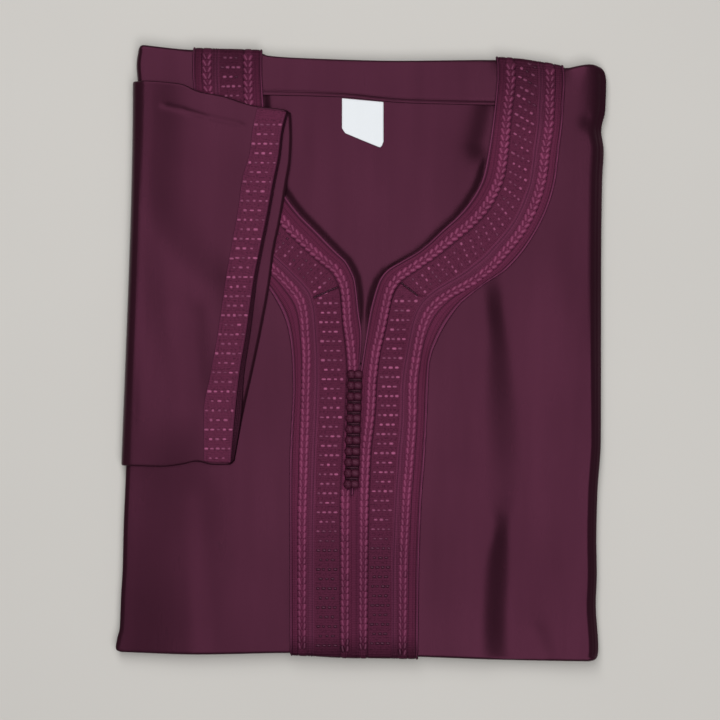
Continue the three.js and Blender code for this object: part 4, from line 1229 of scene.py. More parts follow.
def dash_finish(trim):
    return thread_finish("Silk Dashes", trim.dash_colour, DASH_TONES)


def knot_finish(trim):
    name = "Knot Cloth"
    return corded_finish(name, trim.knot_colour, KNOT_SHEEN, KNOT_TONES, KNOT_GRAIN, KNOT_BUMP)


def label_finish(colour):
    """The label's ribbon, in a fine plain weave."""
    finish, tree, shader = new_finish("Label Ribbon", *LABEL_SHEEN)
    woven(tree, shader, colour, LABEL_THREAD_PITCH, LABEL_DRIFT, LABEL_BUMP)
    return finish


class GANDOURA_OT_front(bpy.types.Operator):
    """Lays the front cloth over the packet, with the neck and the slit cut out"""

    bl_idname = "gandoura.front"
    bl_label = "Front Cloth"

    SIDE_STEPS = 20
    END_STEPS = 8
    NECK_MARGIN = 0.003
    SLIT_END_Y = -0.012
    ABOVE_SHOULDERS = 0.26

    def neck_edge(self, sections):
        rows = sections[sections[:, 1] > self.SLIT_END_Y]
        way = rows[:, 2:] - rows[:, :2]
        way *= self.NECK_MARGIN / np.linalg.norm(way, axis=1, keepdims=True)
        edge = rows[:, :2] + way
        return np.concatenate([[(edge[0, 0], self.ABOVE_SHOULDERS)], edge])

    def execute(self, context):
        satin = context.scene.gandoura_satin
        lines = packet_lines(satin.grid_step, self.SIDE_STEPS, self.END_STEPS)
        u, v = np.meshgrid(*lines)
        pattern = Pattern()
        grid = pattern.add(cloth_point(u, v))
        pattern.cloth(grid)
        above = border_of(grid)
        for skirt in (SKIRT_DEPTH / 2, SKIRT_DEPTH):
            below = pattern.add(cloth_point(border_of(u), border_of(v), 0, skirt))
            pattern.strip(below, above)
            above = below
        neck = np.concatenate([self.neck_edge(RIGHT_BAND), self.neck_edge(LEFT_BAND)[::-1]])
        pattern.keep(lambda middle: ~inside(neck, middle[:, 0], middle[:, 1]))
        front = pattern.piece("front_cloth", satin_finish("Satin", satin.colour))
        give_wall(front, CLOTH_WALL)
        dress(front, "satin", "front_panel")
        return {"FINISHED"}


class GANDOURA_OT_stack(bpy.types.Operator):
    """Builds the folds below the front, with a rounded edge for each layer"""

    bl_idname = "gandoura.stack"
    bl_label = "Folded Layers"

    GRID_STEP = 0.004
    RIM_STEPS = 8
    LAYERS = 9
    LAYER_STEPS = 5
    # How far in the side is, how far each layer bulges out, and how far that wanders
    INSET = 0.0024
    BULGE = 0.0009
    WANDER = 0.0005
    # The right side lies further out and slants in towards the top
    RIGHT_FROM = (0.9, 0.99)
    RIGHT_INSET = 0.0009
    RIGHT_WANDER = 0.0006
    RIGHT_SLANT = 0.0012
    FLOOR_INSET = 0.004
    EDGE_TURN = (0.1, 1.2)
    ABOVE_TOP = 1.001

    def layer_inset(self, u, v, height, top):
        """How far in from the outline the side of the stack is, at a height."""
        layer = height / top * self.LAYERS
        number = np.floor(layer)
        bulge = np.sin(math.pi * (layer - number)) ** 0.5
        wander = np.sin(19 * u + 2.4 * number) * np.sin(14 * v + 1.7 * number)
        inset = self.INSET - self.BULGE * bulge + self.WANDER * wander
        right = self.RIGHT_INSET - self.BULGE * bulge + self.RIGHT_WANDER * wander
        right = right + self.RIGHT_SLANT * layer / self.LAYERS
        return lerp(inset, right, smooth_step(u, *self.RIGHT_FROM))

    def execute(self, context):
        satin = context.scene.gandoura_satin
        u, v = np.meshgrid(*packet_lines(self.GRID_STEP, self.RIM_STEPS, self.RIM_STEPS))
        pattern = Pattern()
        lean_in = np.minimum.reduce([
            u * PACKET_WIDTH / RIM_LEFT, (1 - u) * PACKET_WIDTH / RIM_RIGHT,
            v * PACKET_LENGTH / RIM_BOTTOM, (1 - v) * PACKET_LENGTH / RIM_TOP,
        ])
        deep = lerp(STACK_SIDE_LIFT, STACK_LIFT, smooth_step(lean_in, *self.EDGE_TURN))
        x, y = cloth_point(u, v)[..., 0], cloth_point(u, v)[..., 1]
        room = neck_dip(x, y, STACK_DIP, STACK_DIP_REACH)
        room += STACK_TROUGH * trough_depth(BACK_TROUGHS, x, y)
        grid = pattern.add(cloth_point(u, v, deep - room))
        pattern.cloth(grid)
        above = border_of(grid)
        edge_u, edge_v = border_of(u), border_of(v)
        side_top = cloth_point(edge_u, edge_v)[:, 2] - SKIRT_DEPTH
        shares = np.linspace(1, 0, self.LAYERS * self.LAYER_STEPS + 1)
        for share in shares:
            height = side_top * share
            inset = self.layer_inset(edge_u, edge_v, height, side_top * self.ABOVE_TOP)
            ring = cloth_point(edge_u, edge_v, -inset)
            ring[:, 2] = height
            below = pattern.add(ring)
            pattern.strip(below, above)
            above = below
        inner = cloth_point(u, v, -self.FLOOR_INSET)
        inner[..., 2] = 0
        floor = pattern.add(inner)
        pattern.strip(border_of(floor), above)
        pattern.cloth(floor, back=True)
        stack = pattern.piece("folded_stack", satin_finish("Satin", satin.colour))
        dress(stack, "satin", "folded_layers")
        return {"FINISHED"}


class GANDOURA_OT_back(bpy.types.Operator):
    """Lays the back cloth seen through the neck, and the facing sewn to it"""

    bl_idname = "gandoura.back"
    bl_label = "Back and Facing"

    GRID_STEP = 0.002
    SIDE_STEPS = 3
    END_STEPS = 8
    # Painted shade: the back and its facing take the satin's colour times this share
    SHADE = 0.93
    FACING_SPAN = (-0.09, 0.1221)
    FACING_STEP = 0.0022
    # Distances from the facing's seam, close together at its hem and its fold
    NEAR_SEAM = (0, 0.0004, 0.0009, 0.0015, 0.0026, 0.0033, FACING_FOLD, 0.0039, 0.0046)
    BEYOND_SEAM = (0.0065, 0.0305)
    ROWS = 13
    # The height of the hem, and of the groove at the fold, with their places and reaches
    HEM = (0.0004, 0.001, 0.0009)
    GROOVE = (0.00035, FACING_FOLD, 0.0005)
    ABOVE_BACK = 0.0001

    def execute(self, context):
        satin = context.scene.gandoura_satin
        # A darker copy of the satin, as painted shade, for the back and the facing
        finish = satin_finish("Back Satin", [self.SHADE * part for part in satin.colour])
        across, along = packet_lines(self.GRID_STEP, self.SIDE_STEPS, self.END_STEPS)
        across, along = across[self.SIDE_STEPS:-self.SIDE_STEPS], along[self.END_STEPS:]
        u, v = np.meshgrid(across, along)
        x, y = cloth_point(u, v)[..., 0], cloth_point(u, v)[..., 1]
        sink = trough_depth(BACK_TROUGHS, x, y)
        sink = np.maximum(sink, neck_dip(x, y, NECK_DIP, NECK_DIP_REACH))
        layers = []
        for lift in (BACK_LIFT, BACK_LIFT - CLOTH_WALL):
            turned = cloth_point(across, 1, lift, SKIRT_DEPTH / 2)
            layers.append(np.concatenate([cloth_point(u, v, lift - sink), turned[None]]))
        pattern = Pattern()
        shell(pattern, *layers)
        back = pattern.piece("back_cloth", finish)
        dress(back, "satin", "back_panel")

        x = np.arange(*self.FACING_SPAN, self.FACING_STEP)
        seam = smooth_line(*FACING_SEAM.T, x)
        _, high = flat_ends(x)
        end = high + TOP_ARC + SKIRT_DEPTH / 2
        off = np.concatenate([self.NEAR_SEAM, np.linspace(*self.BEYOND_SEAM, self.ROWS)])
        share = np.linspace(0, 1, self.ROWS)[1:]
        y = np.concatenate([seam + off[:, None], lerp(seam + off[-1], end, share[:, None])])
        hem, groove = (
            height * gauss(y - seam - place, reach)
            for height, place, reach in (self.HEM, self.GROOVE)
        )
        xs = np.broadcast_to(x, y.shape)
        pattern = Pattern()
        shell(
            pattern,
            wrapped_point(xs, y, FACING_LIFT + hem - groove),
            wrapped_point(xs, y, BACK_LIFT + self.ABOVE_BACK),
        )
        facing = pattern.piece("facing_strip", finish)
        dress(facing, "satin", "back_neck_facing")
        return {"FINISHED"}


class GANDOURA_OT_label(bpy.types.Operator):
    """Hangs the bare size label from the facing seam, with its foot bent"""

    bl_idname = "gandoura.label"
    bl_label = "Size Label"

    COLUMNS = 26
    ROWS = 30
    WALL = 0.00035
    CURL = 0.0007
    RIPPLE = 0.0002
    RIPPLE_LENGTH = 0.006
    HEM = 0.00012
    HEM_FROM_TOP = 0.002
    HEM_REACH = 0.0006

    def execute(self, context):
        satin = context.scene.gandoura_satin
        x = np.linspace(LABEL_TOP[0, 0], LABEL_TOP[1, 0], self.COLUMNS)
        head = np.interp(x, *LABEL_TOP.T)
        foot = np.interp(x, *LABEL_FOOT.T)
        down = np.linspace(0, 1, self.ROWS)[:, None]
        y = lerp(foot, head, down)
        xs = np.broadcast_to(x, y.shape)
        ripple = self.RIPPLE * np.sin(xs / self.RIPPLE_LENGTH + 1) * (1 - down)
        curl = self.CURL * (1 - down) ** 5 + ripple
        hem = self.HEM * gauss(y - head + self.HEM_FROM_TOP, self.HEM_REACH)
        pattern = Pattern()
        shell(
            pattern,
            on_cloth(xs, y, LABEL_LIFT + curl + hem),
            on_cloth(xs, y, LABEL_LIFT - self.WALL + curl),
        )
        label = pattern.piece("size_tag", label_finish(satin.label_colour))
        dress(label, "label_cloth", "size_label")
        return {"FINISHED"}


class GANDOURA_OT_bands(bpy.types.Operator):
    """Lays both halves of the neck band, with their piping, braid and stitching"""

    bl_idname = "gandoura.bands"
    bl_label = "Neck Bands"

    CHAIN_SPREAD = 0.0019
    CHAIN_HALF = (0.003, 0.002, 0.0005)
    CHAIN_RISE = 0.0008
    CHAIN_TURN = (0.2, 0.5)
    CHAIN_TURN_Y = (0.03, 0.12)
    DASH_HALF = (0.0016, 0.0012, 0.0003)
    DOT_HALF = (0.0012, 0.0012, 0.0003)
    SLANTED = 0.5
    PLACE_WIDTH = 0.034
    SEAM_STEP = 0.0021
    SEAM_HALF = (0.0013, 0.0009, 0.0003)
    SEAM_TONE = -0.44
    SEAM_WANDER = 0.0004
    ROW_WANDER = 0.02
    CHAIN_SIZES = (0.92, 1.08)
    DASH_SIZES = (0.75, 1.2)
    SEEDS = {"left": 7, "right": 8}
    FULL_ROW = (0.08, 0.36, 0.64, 0.92)
    SHORT_ROW = (0.2, 0.5, 0.8)
    # Below these heights the band's foot lies in painted shade and its dashes take this dark tone;
    # above them the dashes carry painted highlight
    SHADED_BELOW_Y = (-0.165, -0.12)
    SHADED_DASH_TONE = -0.38
    # How much darker a stitch is painted at the ends of the band, or over its foot: painted shade
    CHAIN_END = 1.5
    CHAIN_FOOT_SHADE = 0.9
    DASH_END = 0.5
    # How much dimmer the slanted stitches of each side are
    DIM = {"left": 0.4, "right": 0.12}
    BRIGHT_TONES = (0, 0.8)
    TAPE_MARGIN = 0.0012
    TAPE_END_MARGINS = (0.001, 0.002)
    MOST_TURNED = 0.7
    LAST_ROW = 39
    UNDER_SLEEVE = 0.004

    def chain(self, band, place, pitch):
        """A row of chain: two columns of stitches that lean together."""
        sections = band.walk(place, pitch)
        sections = sections[band.turned_down(sections) < self.MOST_TURNED]
        here, along, across, out = band.frame_at(sections, np.full(len(sections), place), 0)
        rise = BAND_FLOOR + BAND_WALL + self.CHAIN_RISE
        turn = lerp(*self.CHAIN_TURN, smooth_step(here[:, 1:2], *self.CHAIN_TURN_Y))
        rows = []
        for side in (-1, 1):
            way = along * np.cos(turn) - side * across * np.sin(turn)
            centre = here + side * across * self.CHAIN_SPREAD + out * rise
            rows.append((centre, way, np.cross(out, way), out))
        return [np.concatenate(parts) for parts in zip(*rows)]

    def dashes(self, band, pitch, rng):
        """Short satin stitches in rows across the dotted part of the band."""
        sections, places, level, leans = [], [], [], []
        for number in range(math.ceil(band.run[0] / pitch), self.LAST_ROW):
            shares = np.array(self.FULL_ROW if number % 2 else self.SHORT_ROW)
            shares = shares + rng.uniform(-self.ROW_WANDER, self.ROW_WANDER, len(shares))
            across = lerp(DOTTED_FROM + DOTTED_MARGIN, DOTTED_TO - DOTTED_MARGIN, shares)
            sections.extend(band.row(number, pitch, across))
            places.extend(across)
            level.extend([number > 0] * len(across))
            leans.extend([band.row_lean(number) / self.PLACE_WIDTH] * len(across))
        sections, places = np.array(sections), np.array(places)
        flat = band.turned_down(sections) < self.MOST_TURNED
        level = np.array(level)[flat]
        leans = np.array(leans)[flat]
        here, along, across, out = band.frame_at(sections[flat], places[flat], 0)
        across = across + along * leans[:, None]
        straight = np.cross(out, np.cross([1.0, 0.0, 0.0], out))
        across = np.where(level[:, None], straight, across)
        across /= np.linalg.norm(across, axis=1, keepdims=True)
        centre = here + out * (BAND_FLOOR + BAND_WALL + DASH_RISE)
        return centre, across, np.cross(out, across), out

    def seam(self, band, rng):
        """Dark stitches along the mitre, where the band is turned."""
        x0, y0, x1, y1 = band.mitre[0][:4]
        share = np.arange(0, 1, self.SEAM_STEP / math.hypot(x1 - x0, y1 - y0))
        x = lerp(x0, x1, share)
        y = lerp(y0, y1, share)
        y = y + rng.uniform(-self.SEAM_WANDER, self.SEAM_WANDER, len(share))
        centre = wrapped_point(x, y, BAND_FLOOR + BAND_WALL + DASH_RISE)
        out = np.broadcast_to([0.0, 0.0, 1.0], centre.shape)
        way = np.broadcast_to([x1 - x0, y1 - y0, 0.0], centre.shape)
        way = way / np.linalg.norm(way, axis=1, keepdims=True)
        return centre, way, np.cross(out, way), out

    def stitching(self, context, side, band):
        trim = context.scene.gandoura_trim
        rng = np.random.default_rng(self.SEEDS[side])
        rows = [self.chain(band, place, trim.stitch_pitch) for place in (1, 2)]
        parts = [np.concatenate(part) for part in zip(*rows)]
        chain_sizes = rng.uniform(*self.CHAIN_SIZES, (len(parts[0]), 3)) * self.CHAIN_HALF
        dash = self.dashes(band, trim.row_pitch, rng)
        slanted = np.abs(dash[1][:, 1]) > self.SLANTED
        dash_sizes = np.where(slanted[:, None], self.DOT_HALF, self.DASH_HALF)
        dash_sizes = dash_sizes * rng.uniform(*self.DASH_SIZES, dash_sizes.shape)
        # Painted shade on the chain stitches at the band's ends and over its foot
        chain_tone = rng.uniform(0, 1, len(parts[0])) - self.CHAIN_END * self.end_shade(parts[0])
        chain_tone -= self.CHAIN_FOOT_SHADE * (1 - self.bright(parts[0]))
        # Painted highlight on the upper dashes, with a random spread, and painted shade on those of
        # the foot and at the band's ends
        bright = self.bright(dash[0])
        dash_tone = lerp(self.SHADED_DASH_TONE, rng.uniform(*self.BRIGHT_TONES, len(bright)), bright)
        dash_tone -= self.DASH_END * bright * self.end_shade(dash[0]) + self.DIM[side] * slanted
        dash_tone = np.maximum(dash_tone, self.SHADED_DASH_TONE)
        seam = self.seam(band, rng)
        dash = [np.concatenate(part) for part in zip(dash, seam)]
        dash_sizes = np.concatenate([dash_sizes, np.tile(self.SEAM_HALF, (len(seam[0]), 1))])
        dash_tone = np.concatenate([dash_tone, np.full(len(seam[0]), self.SEAM_TONE)])
        made = []
        for name, finish, (centre, way, width, out), sizes, tone in (
            ("chain_stitches_" + side, chain_finish(trim), parts, chain_sizes, chain_tone),
            ("satin_dashes_" + side, dash_finish(trim), dash, dash_sizes, dash_tone),
        ):
            shown = self.in_sight(centre)
            ways = [part[shown] for part in (centre, way, width, out)]
            piece = sew(name, finish, *ways, sizes[shown], tone[shown])
            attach(piece, "root")
            made.append(piece)
        return made

    def bright(self, centre):
        """1 for a stitch of the upper part, which carries painted highlight, and 0 for one of the
        foot, in painted shade.
        """
        return smooth_step(centre[:, 1], *self.SHADED_BELOW_Y)

    def end_shade(self, centre):
        """How near each stitch is to the ends of the band, where it is painted in shade, from 0 to
        1.
        """
        low, high = flat_ends(centre[:, 0])
        from_shoulder = (high - centre[:, 1]) / SHOULDER_SHADE_REACH
        from_hem = (centre[:, 1] - low) / HEM_SHADE_REACH
        return 1 - smooth_step(np.minimum(from_shoulder, from_hem), 0, 1)

    def in_sight(self, centre):
        """True for the stitches that neither the sleeve nor the knots' tape covers."""
        x, y = centre[:, 0], centre[:, 1]
        _, cuff, rear = sleeve_ends(y)
        high = smooth_line(*SLEEVE_UPPER_FOLD.T, x)
        low = smooth_line(*SLEEVE_LOWER_FOLD.T, x)
        covered = (x < np.maximum(cuff, rear) - self.UNDER_SLEEVE)
        covered &= (y < high - self.UNDER_SLEEVE) & (y > low + self.UNDER_SLEEVE)
        taped = np.abs(x - tape_middle(y)) < TAPE_HALF + self.TAPE_MARGIN
        above, below = self.TAPE_END_MARGINS
        taped &= (y < TAPE_TOP_Y + above) & (y > TAPE_FOOT_Y - below)
        return ~(covered | taped)

    def lay(self, context, side, sections, chains, mitre, lean):
        band = NeckBand(sections, *chains, mitre, lean)
        dotted = (DOTTED_FROM, DOTTED_TO)
        ends = band.run[[0, -1]].tolist()
        finish = band_finish("Band Braid " + side, BAND_TONES, 3, dotted, ends)
        places, rises = np.array(BAND_RELIEF).T
        numbers = np.arange(band.count)[:, None]
        x, y = band.chart(*np.broadcast_arrays(numbers.astype(float), places))
        plain = 1 - smooth_step(y, PLAIN_BELOW_Y - PLAIN_BLEND, PLAIN_BELOW_Y)
        plain = plain * (places < PLAIN_PLACE)
        rises = lerp(rises, PLAIN_RISE, plain)
        top = band.point(numbers, places, BAND_FLOOR + BAND_WALL + rises * MM)
        low = band.point(numbers, places, BAND_FLOOR)
        if side == "right":
            top, low = top[::-1], low[::-1]
        pattern = Pattern()
        shell(pattern, top, low)
        down = band.down_band(x, y, numbers, places)
        tone = lerp(places, PLAIN_PLACE, plain) / 3
        if side == "right":
            down, tone = down[::-1], tone[::-1]
        steps = np.linalg.norm(np.diff(low, axis=1, prepend=low[:, :1]), axis=2)
        maps = np.stack([np.cumsum(steps, axis=1), down], axis=-1)
        maps = np.concatenate([maps.reshape(-1, 2)] * 2)
        tone = np.tile(tone.ravel(), 2)
        piece = pattern.piece("neck_band_" + side + "_braid", finish, maps, tone)
        dress(piece, "band_trim", "neck_band_" + side)
        stitches = self.stitching(context, side, band)

    def execute(self, context):
        chains = (RIGHT_INNER_CHAIN, RIGHT_OUTER_CHAIN)
        self.lay(context, "right", RIGHT_BAND, chains, RIGHT_MITRE, RIGHT_LEAN)
        chains = (LEFT_INNER_CHAIN, LEFT_OUTER_CHAIN)
        self.lay(context, "left", LEFT_BAND, chains, LEFT_MITRE, 0)
        return {"FINISHED"}


class GANDOURA_OT_sleeve(bpy.types.Operator):
    """Lays the short sleeve over the front, as a flattened tube of two layers"""

    bl_idname = "gandoura.sleeve"
    bl_label = "Sleeve"

    CROSS_STEPS = 190
    FOLD_SQUARENESS = 0.7
    FOLD_DEGREES = 18
    SIDE_STEPS = 8
    PLAIN_STEPS = 34
    CUFF_STEPS = 9
    WALL = 0.0006

    def loop(self, inset):
        """Places round the flattened tube: down, and height through its two layers."""
        half = SLEEVE_THICKNESS / 2
        turn = half / (SLEEVE_TOP_Y - SLEEVE_BOTTOM_Y)
        flat = np.linspace(turn, 1 - turn, self.CROSS_STEPS + 1)
        bend = np.radians(np.arange(self.FOLD_DEGREES, 180, self.FOLD_DEGREES))
        over = turn * (half - inset) / half * np.sin(bend) ** self.FOLD_SQUARENESS
        up = (half - inset) * np.sign(np.cos(bend)) * np.abs(np.cos(bend)) ** self.FOLD_SQUARENESS
        down = [flat, 1 - turn + over, flat[::-1], turn - over]
        height = [
            np.full(len(flat), 2 * half - inset), half + up, np.full(len(flat), inset), half - up,
        ]
        return np.concatenate(down), np.concatenate(height)

    def execute(self, context):
        satin = context.scene.gandoura_satin
        reach = np.concatenate([
            [-2, -1.5], np.linspace(-1, 0, self.SIDE_STEPS + 1)[:-1],
            np.linspace(0, 1, self.PLAIN_STEPS + 1), np.linspace(1, 2, self.CUFF_STEPS + 1)[1:],
        ])[:, None]
        pattern = Pattern()
        walls = []
        for inset in (0, self.WALL):
            down, height = self.loop(inset)
            rings = pattern.add(sleeve_point(reach, down[None], height[None]))
            walls.append(np.concatenate([rings, rings[:, :1]], axis=1))
        outer, inner = walls
        pattern.cloth(outer, back=True)
        pattern.cloth(inner)
        pattern.cloth(np.stack([outer[0], inner[0]]), back=True)
        pattern.cloth(np.stack([inner[-1], outer[-1]]), back=True)
        sleeve = pattern.piece("sleeve_cloth", satin_finish("Satin", satin.colour))
        dress(sleeve, "satin", "sleeve")
        return {"FINISHED"}


class GANDOURA_OT_cuff(bpy.types.Operator):
    """Stitches the band round the cuff, with its rows of short stitches"""

    bl_idname = "gandoura.cuff"
    bl_label = "Cuff Band"

    SECTIONS = 230
    LIFT = 0.0002
    WALL = 0.0006
    FULL_ROW = (0.09, 0.29, 0.5, 0.7, 0.91)
    SHORT_ROW = (0.24, 0.47, 0.72)
    DASH_HALF = (0.0016, 0.0012, 0.0003)
    BAND_WIDTH = 0.023
    DOTTED = (0.03, 0.97)
    ROW_MARGINS = (0.004, 0.003)
    TONES = (0, 0.75)
    DASH_SIZES = (0.7, 1.25)
    SEED = 11

    def point(self, share, down, lift):
        """A point over the cuff, and beyond place 1 over the fall of its lining."""
        y = lerp(SLEEVE_BOTTOM_Y, SLEEVE_TOP_Y, down)
        band, cuff, _ = sleeve_ends(y)
        fall = smooth_line(*CUFF_FALL.T, y) / (cuff - band)
        beyond = 1 + (share - 1) / (CUFF_END - 1) * fall
        base = sleeve_point(1 + np.where(share > 1, beyond, share), down, SLEEVE_THICKNESS)
        base[..., 2] += lift
        return base

    def level(self, share, down):
        """The share down at which a stitch lies level with the rest of its row."""
        x = self.point(share, down, 0)[..., 0]
        low, high = sleeve_place(x, 0), sleeve_place(x, 1)
        return (lerp(SLEEVE_BOTTOM_Y, SLEEVE_TOP_Y, down) - low) / (high - low)

    def execute(self, context):
        trim = context.scene.gandoura_trim
        shares, rises = np.array(CUFF_RELIEF).T
        turn = SLEEVE_THICKNESS / 2 / (SLEEVE_TOP_Y - SLEEVE_BOTTOM_Y)
        down = np.linspace(turn, 1 - turn, self.SECTIONS)[:, None]
        top = self.point(shares, down, self.LIFT + self.WALL + rises * MM)
        low = self.point(shares, down, self.LIFT)
        pattern = Pattern()
        shell(pattern, top, low)
        length = SLEEVE_TOP_Y - SLEEVE_BOTTOM_Y
        maps = np.stack(np.broadcast_arrays(shares * self.BAND_WIDTH, down * length), axis=-1)
        maps = np.concatenate([maps.reshape(-1, 2)] * 2)
        tone = np.tile(shares / CUFF_END, 2 * self.SECTIONS)
        finish = band_finish("Cuff Braid", CUFF_TONES, CUFF_END, self.DOTTED)
        cuff = pattern.piece("cuff_strip", finish, maps, tone)
        dress(cuff, "band_trim", "cuff_band")

        rng = np.random.default_rng(self.SEED)
        first, last = self.ROW_MARGINS
        rows = np.arange(first, length - last, trim.row_pitch) / length
        placed = [
            (share, row) for number, row in enumerate(rows)
            for share in (self.FULL_ROW if number % 2 else self.SHORT_ROW)
        ]
        share, row = np.array(placed).T
        row = self.level(share, row)
        rise = self.LIFT + self.WALL + DASH_RISE
        centre = self.point(share, row, rise)
        near, far = share - PLACE_STEP, share + PLACE_STEP
        width = self.point(far, row, rise) - self.point(near, row, rise)
        width[:, 1] = 0
        width /= np.linalg.norm(width, axis=1, keepdims=True)
        out = np.broadcast_to([0.0, 0.0, 1.0], width.shape)
        along = np.cross(out, width)
        sizes = rng.uniform(*self.DASH_SIZES, (len(centre), 3)) * self.DASH_HALF
        tones = rng.uniform(*self.TONES, len(centre))
        dashes = sew("cuff_dashes", dash_finish(trim), centre, width, along, out, sizes, tones)
        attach(dashes, "root")
        return {"FINISHED"}


class GANDOURA_OT_knots(bpy.types.Operator):
    """Sets the eleven cloth knots and their loops down the front slit"""

    bl_idname = "gandoura.knots"
    bl_label = "Knots and Loops"

    KNOT_STRAND = 0.05
    LOOP_STRAND = 0.03

    def knot(self):
        """A ball of corded cloth: strands that wind both ways round a sphere."""
        bpy.ops.object.select_all(action="DESELECT")
        bpy.ops.mesh.primitive_uv_sphere_add(segments=28, ring_count=16, radius=1)
        ball = bpy.context.active_object
        points = points_of(ball)
        turn = np.arctan2(points[:, 1], points[:, 0])
        tilt = np.arcsin(np.clip(points[:, 2], -1, 1))
        strands = np.cos(3 * turn + 4 * tilt) * np.cos(3 * turn - 4 * tilt)
        pole_fade = np.cos(tilt) ** 0.5
        points *= (1 - self.KNOT_STRAND + self.KNOT_STRAND * strands * pole_fade)[:, None]
        ball.data.vertices.foreach_set("co", points.ravel())
        # The tone follows the strands: painted shade in the grooves between them, lighter on the
        # strands
        return ball, 0.5 + 0.5 * strands * pole_fade

    def loop(self):
        """A cord bent to a ring, flattened where it lies."""
        bpy.ops.object.select_all(action="DESELECT")
        bpy.ops.mesh.primitive_torus_add(
            major_segments=26, minor_segments=10, major_radius=0.52, minor_radius=0.48,
        )
        ring = bpy.context.active_object
        points = points_of(ring)
        turn = np.arctan2(points[:, 1], points[:, 0])
        strands = np.cos(9 * turn + 3 * points[:, 2] * math.pi)
        points *= (1 - self.LOOP_STRAND + self.LOOP_STRAND * strands)[:, None]
        points = np.roll(points, 1, axis=1)
        ring.data.vertices.foreach_set("co", points.ravel())
        # The tone follows the strands: painted shade in the grooves between them, lighter on the
        # strands
        return ring, 0.5 + 0.5 * strands

    def set_down(self, start, tone, name, half, place, finish):
        points = points_of(start)
        points /= np.abs(points).max(axis=0)
        mesh = start.data.copy()
        mesh.name = name
        mesh.vertices.foreach_set("co", (points * half + place).ravel())
        mesh.materials.clear()
        return finished(name, mesh, finish, tone)

    def tape(self, finish):
        """Rows of cord laid side by side, which carry the knots."""
        y = np.arange(TAPE_TOP_Y, TAPE_FOOT_Y, -TAPE_CORD / TAPE_CORD_STEPS)[:, None]
        across = np.sin(np.linspace(-1, 1, TAPE_COLUMNS) * math.pi / 2)
        x = tape_middle(y) + TAPE_HALF * across
        ys = np.broadcast_to(y, x.shape)
        cords = np.abs(np.sin(math.pi * (y - TAPE_TOP_Y) / TAPE_CORD)) ** 0.6
        edge = 1 - np.abs(across) ** 8
        rise = TAPE_LIFT + TAPE_WALL * (0.3 + 0.7 * edge) + TAPE_CORD_HEIGHT * cords * edge
        pattern = Pattern()
        shell(pattern, on_cloth(x, ys, rise)[::-1], on_cloth(x, ys, TAPE_LIFT)[::-1])
        # Painted shade in the grooves between the cords and towards the tape's edges
        tone = np.tile((-TAPE_TONE + TAPE_TONE * (cords * edge)[::-1]).ravel(), 2)
        tape = pattern.piece("knot_tape", finish, tone=tone)
        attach(tape, "root")

    def execute(self, context):
        trim = context.scene.gandoura_trim
        finish = knot_finish(trim)
        self.tape(finish)
        knot, knot_tone = self.knot()
        loop, loop_tone = self.loop()
        for number in range(KNOT_COUNT):
            share = number / (KNOT_COUNT - 1)
            y = lerp(KNOT_FIRST_Y, KNOT_LAST_Y, share)
            label = f"{number + 1:02d}"
            place = (lerp(*KNOT_X, share), y, KNOT_SEAT + KNOT_HALF[2])
            made = self.set_down(knot, knot_tone, "knot_ball_" + label, KNOT_HALF, place, finish)
            dress(made, "knot_cloth", "knot_" + label)
            place = (lerp(*LOOP_X, share) + LOOP_SHIFT, y, KNOT_SEAT + LOOP_HALF[2])
            made = self.set_down(loop, loop_tone, "loop_cord_" + label, LOOP_HALF, place, finish)
            dress(made, "knot_cloth", "loop_" + label)
        for start in (knot, loop):
            bpy.data.objects.remove(start, do_unlink=True)
        return {"FINISHED"}


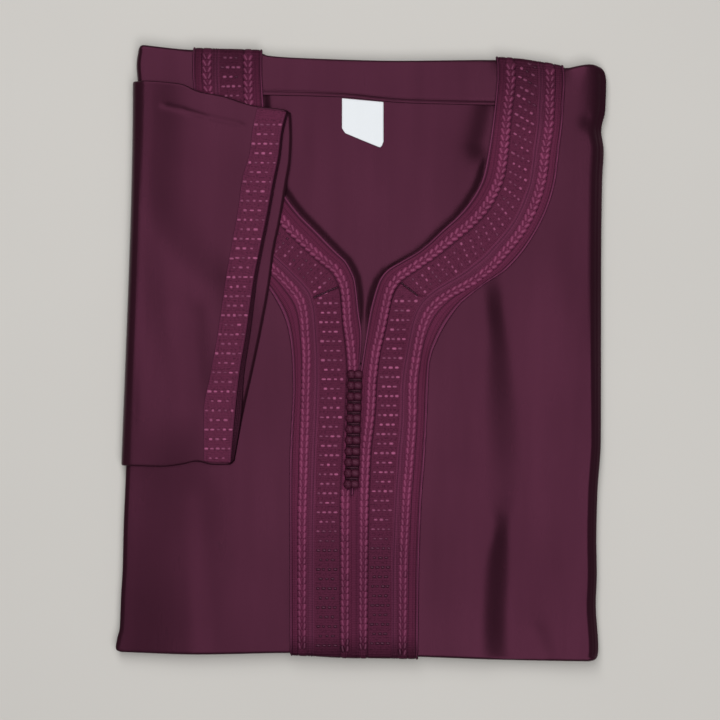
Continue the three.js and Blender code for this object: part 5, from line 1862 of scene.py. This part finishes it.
class GANDOURA_OT_stage(bpy.types.Operator):
    """Sets the floor, the soft lights and the camera above the packet"""

    bl_idname = "gandoura.stage"
    bl_label = "Stage"

    PICTURE_MIDDLE = (-0.0008, -0.0056)
    FLOOR_SIZE = 6
    SENSOR = 36
    KEY_PLACE = (-0.5, 1.5, 1.8)
    KEY_SIZE = (0.8, 0.8)
    TOP_PLACE = (0.05, 0, 2.2)
    TOP_SIZE = (1.2, 3.2)
    TOP_AIM = (0.05, 0, 0)
    TOP_LEAN = math.radians(20)
    ROOM_LIGHT = 0.1
    FLOOR_TONES = (0.05, 0.975)

    def light(self, name, place, size, power, aim=(0, 0, 0), lean=0):
        """Adds a soft light with its width and length, aimed at a place and turned by lean."""
        bpy.ops.object.select_all(action="DESELECT")
        bpy.ops.object.light_add(type="AREA", location=place)
        lamp = bpy.context.active_object
        lamp.name = name
        lamp.data.shape = "RECTANGLE"
        lamp.data.size, lamp.data.size_y = size
        lamp.data.energy = power
        way = np.array(aim) - np.array(place)
        flat = math.hypot(way[0], way[1])
        turn = math.atan2(way[1], way[0]) - math.pi / 2 if flat else 0
        lamp.rotation_euler = (math.atan2(flat, -way[2]), 0, turn + lean)

    def execute(self, context):
        stage = context.scene.gandoura_stage
        bpy.ops.object.select_all(action="DESELECT")
        bpy.ops.mesh.primitive_plane_add(size=self.FLOOR_SIZE, location=(0, 0, 0))
        floor = bpy.context.active_object
        floor.name = "floor"
        finish, tree, shader = new_finish("Pale Floor", *FLOOR_SHEEN)
        place = node(tree, "ShaderNodeTexCoord", (-900, 0))
        cloud = node(tree, "ShaderNodeTexNoise", (-700, 0), Scale=4.0, Detail=3.0)
        tree.links.new(place.outputs["Object"], cloud.inputs["Vector"])
        tone = maths(tree, "MULTIPLY_ADD", (-500, 0), cloud.outputs["Fac"], *self.FLOOR_TONES)
        tinted(tree, shader, stage.floor_colour, tone)
        floor.data.materials.append(finish)

        self.light("key_light", self.KEY_PLACE, self.KEY_SIZE, stage.key_power)
        self.light(
            "top_light", self.TOP_PLACE, self.TOP_SIZE, stage.top_power, self.TOP_AIM,
            self.TOP_LEAN,
        )
        world = bpy.data.worlds.new("Soft Room")
        world.use_nodes = True
        sky = world.node_tree.nodes["Background"]
        sky.inputs["Color"].default_value = (1, 1, 1, 1)
        sky.inputs["Strength"].default_value = self.ROOM_LIGHT
        context.scene.world = world
        context.scene.view_settings.view_transform = "Standard"

        middle_x, middle_y = self.PICTURE_MIDDLE
        place = (middle_x, middle_y, FRONT_TOP + stage.camera_distance)
        bpy.ops.object.camera_add(location=place, rotation=(0, 0, 0))
        camera = bpy.context.active_object
        camera.name = "camera"
        camera.data.sensor_width = self.SENSOR
        camera.data.lens = self.SENSOR * stage.camera_distance / stage.picture_width
        context.scene.camera = camera
        return {"FINISHED"}


PIECES = (
    GANDOURA_OT_stage,
    GANDOURA_OT_stack,
    GANDOURA_OT_front,
    GANDOURA_OT_back,
    GANDOURA_OT_label,
    GANDOURA_OT_bands,
    GANDOURA_OT_sleeve,
    GANDOURA_OT_cuff,
    GANDOURA_OT_knots,
)


class GANDOURA_PT_pieces(bpy.types.Panel):
    """Lists the gandoura's pieces"""

    bl_idname = "GANDOURA_PT_pieces"
    bl_label = "Gandoura"
    bl_space_type = "VIEW_3D"
    bl_region_type = "UI"
    bl_category = "Gandoura"

    def draw(self, context):
        scene = context.scene
        for settings in (scene.gandoura_satin, scene.gandoura_trim, scene.gandoura_stage):
            column = self.layout.column(align=True)
            for name in settings.__annotations__:
                column.prop(settings, name)
        for piece in PIECES:
            self.layout.operator(piece.bl_idname)


CLASSES = (SatinSettings, TrimSettings, StageSettings, *PIECES, GANDOURA_PT_pieces)


def register():
    for each in CLASSES:
        bpy.utils.register_class(each)
    bpy.types.Scene.gandoura_satin = bpy.props.PointerProperty(type=SatinSettings)
    bpy.types.Scene.gandoura_trim = bpy.props.PointerProperty(type=TrimSettings)
    bpy.types.Scene.gandoura_stage = bpy.props.PointerProperty(type=StageSettings)


def unregister():
    del bpy.types.Scene.gandoura_stage
    del bpy.types.Scene.gandoura_trim
    del bpy.types.Scene.gandoura_satin
    for each in reversed(CLASSES):
        bpy.utils.unregister_class(each)


def main():
    register()
    bpy.ops.gandoura.stage()
    bpy.ops.gandoura.stack()
    bpy.ops.gandoura.front()
    bpy.ops.gandoura.back()
    bpy.ops.gandoura.label()
    bpy.ops.gandoura.bands()
    bpy.ops.gandoura.sleeve()
    bpy.ops.gandoura.cuff()
    bpy.ops.gandoura.knots()


if __name__ == "__main__":
    main()
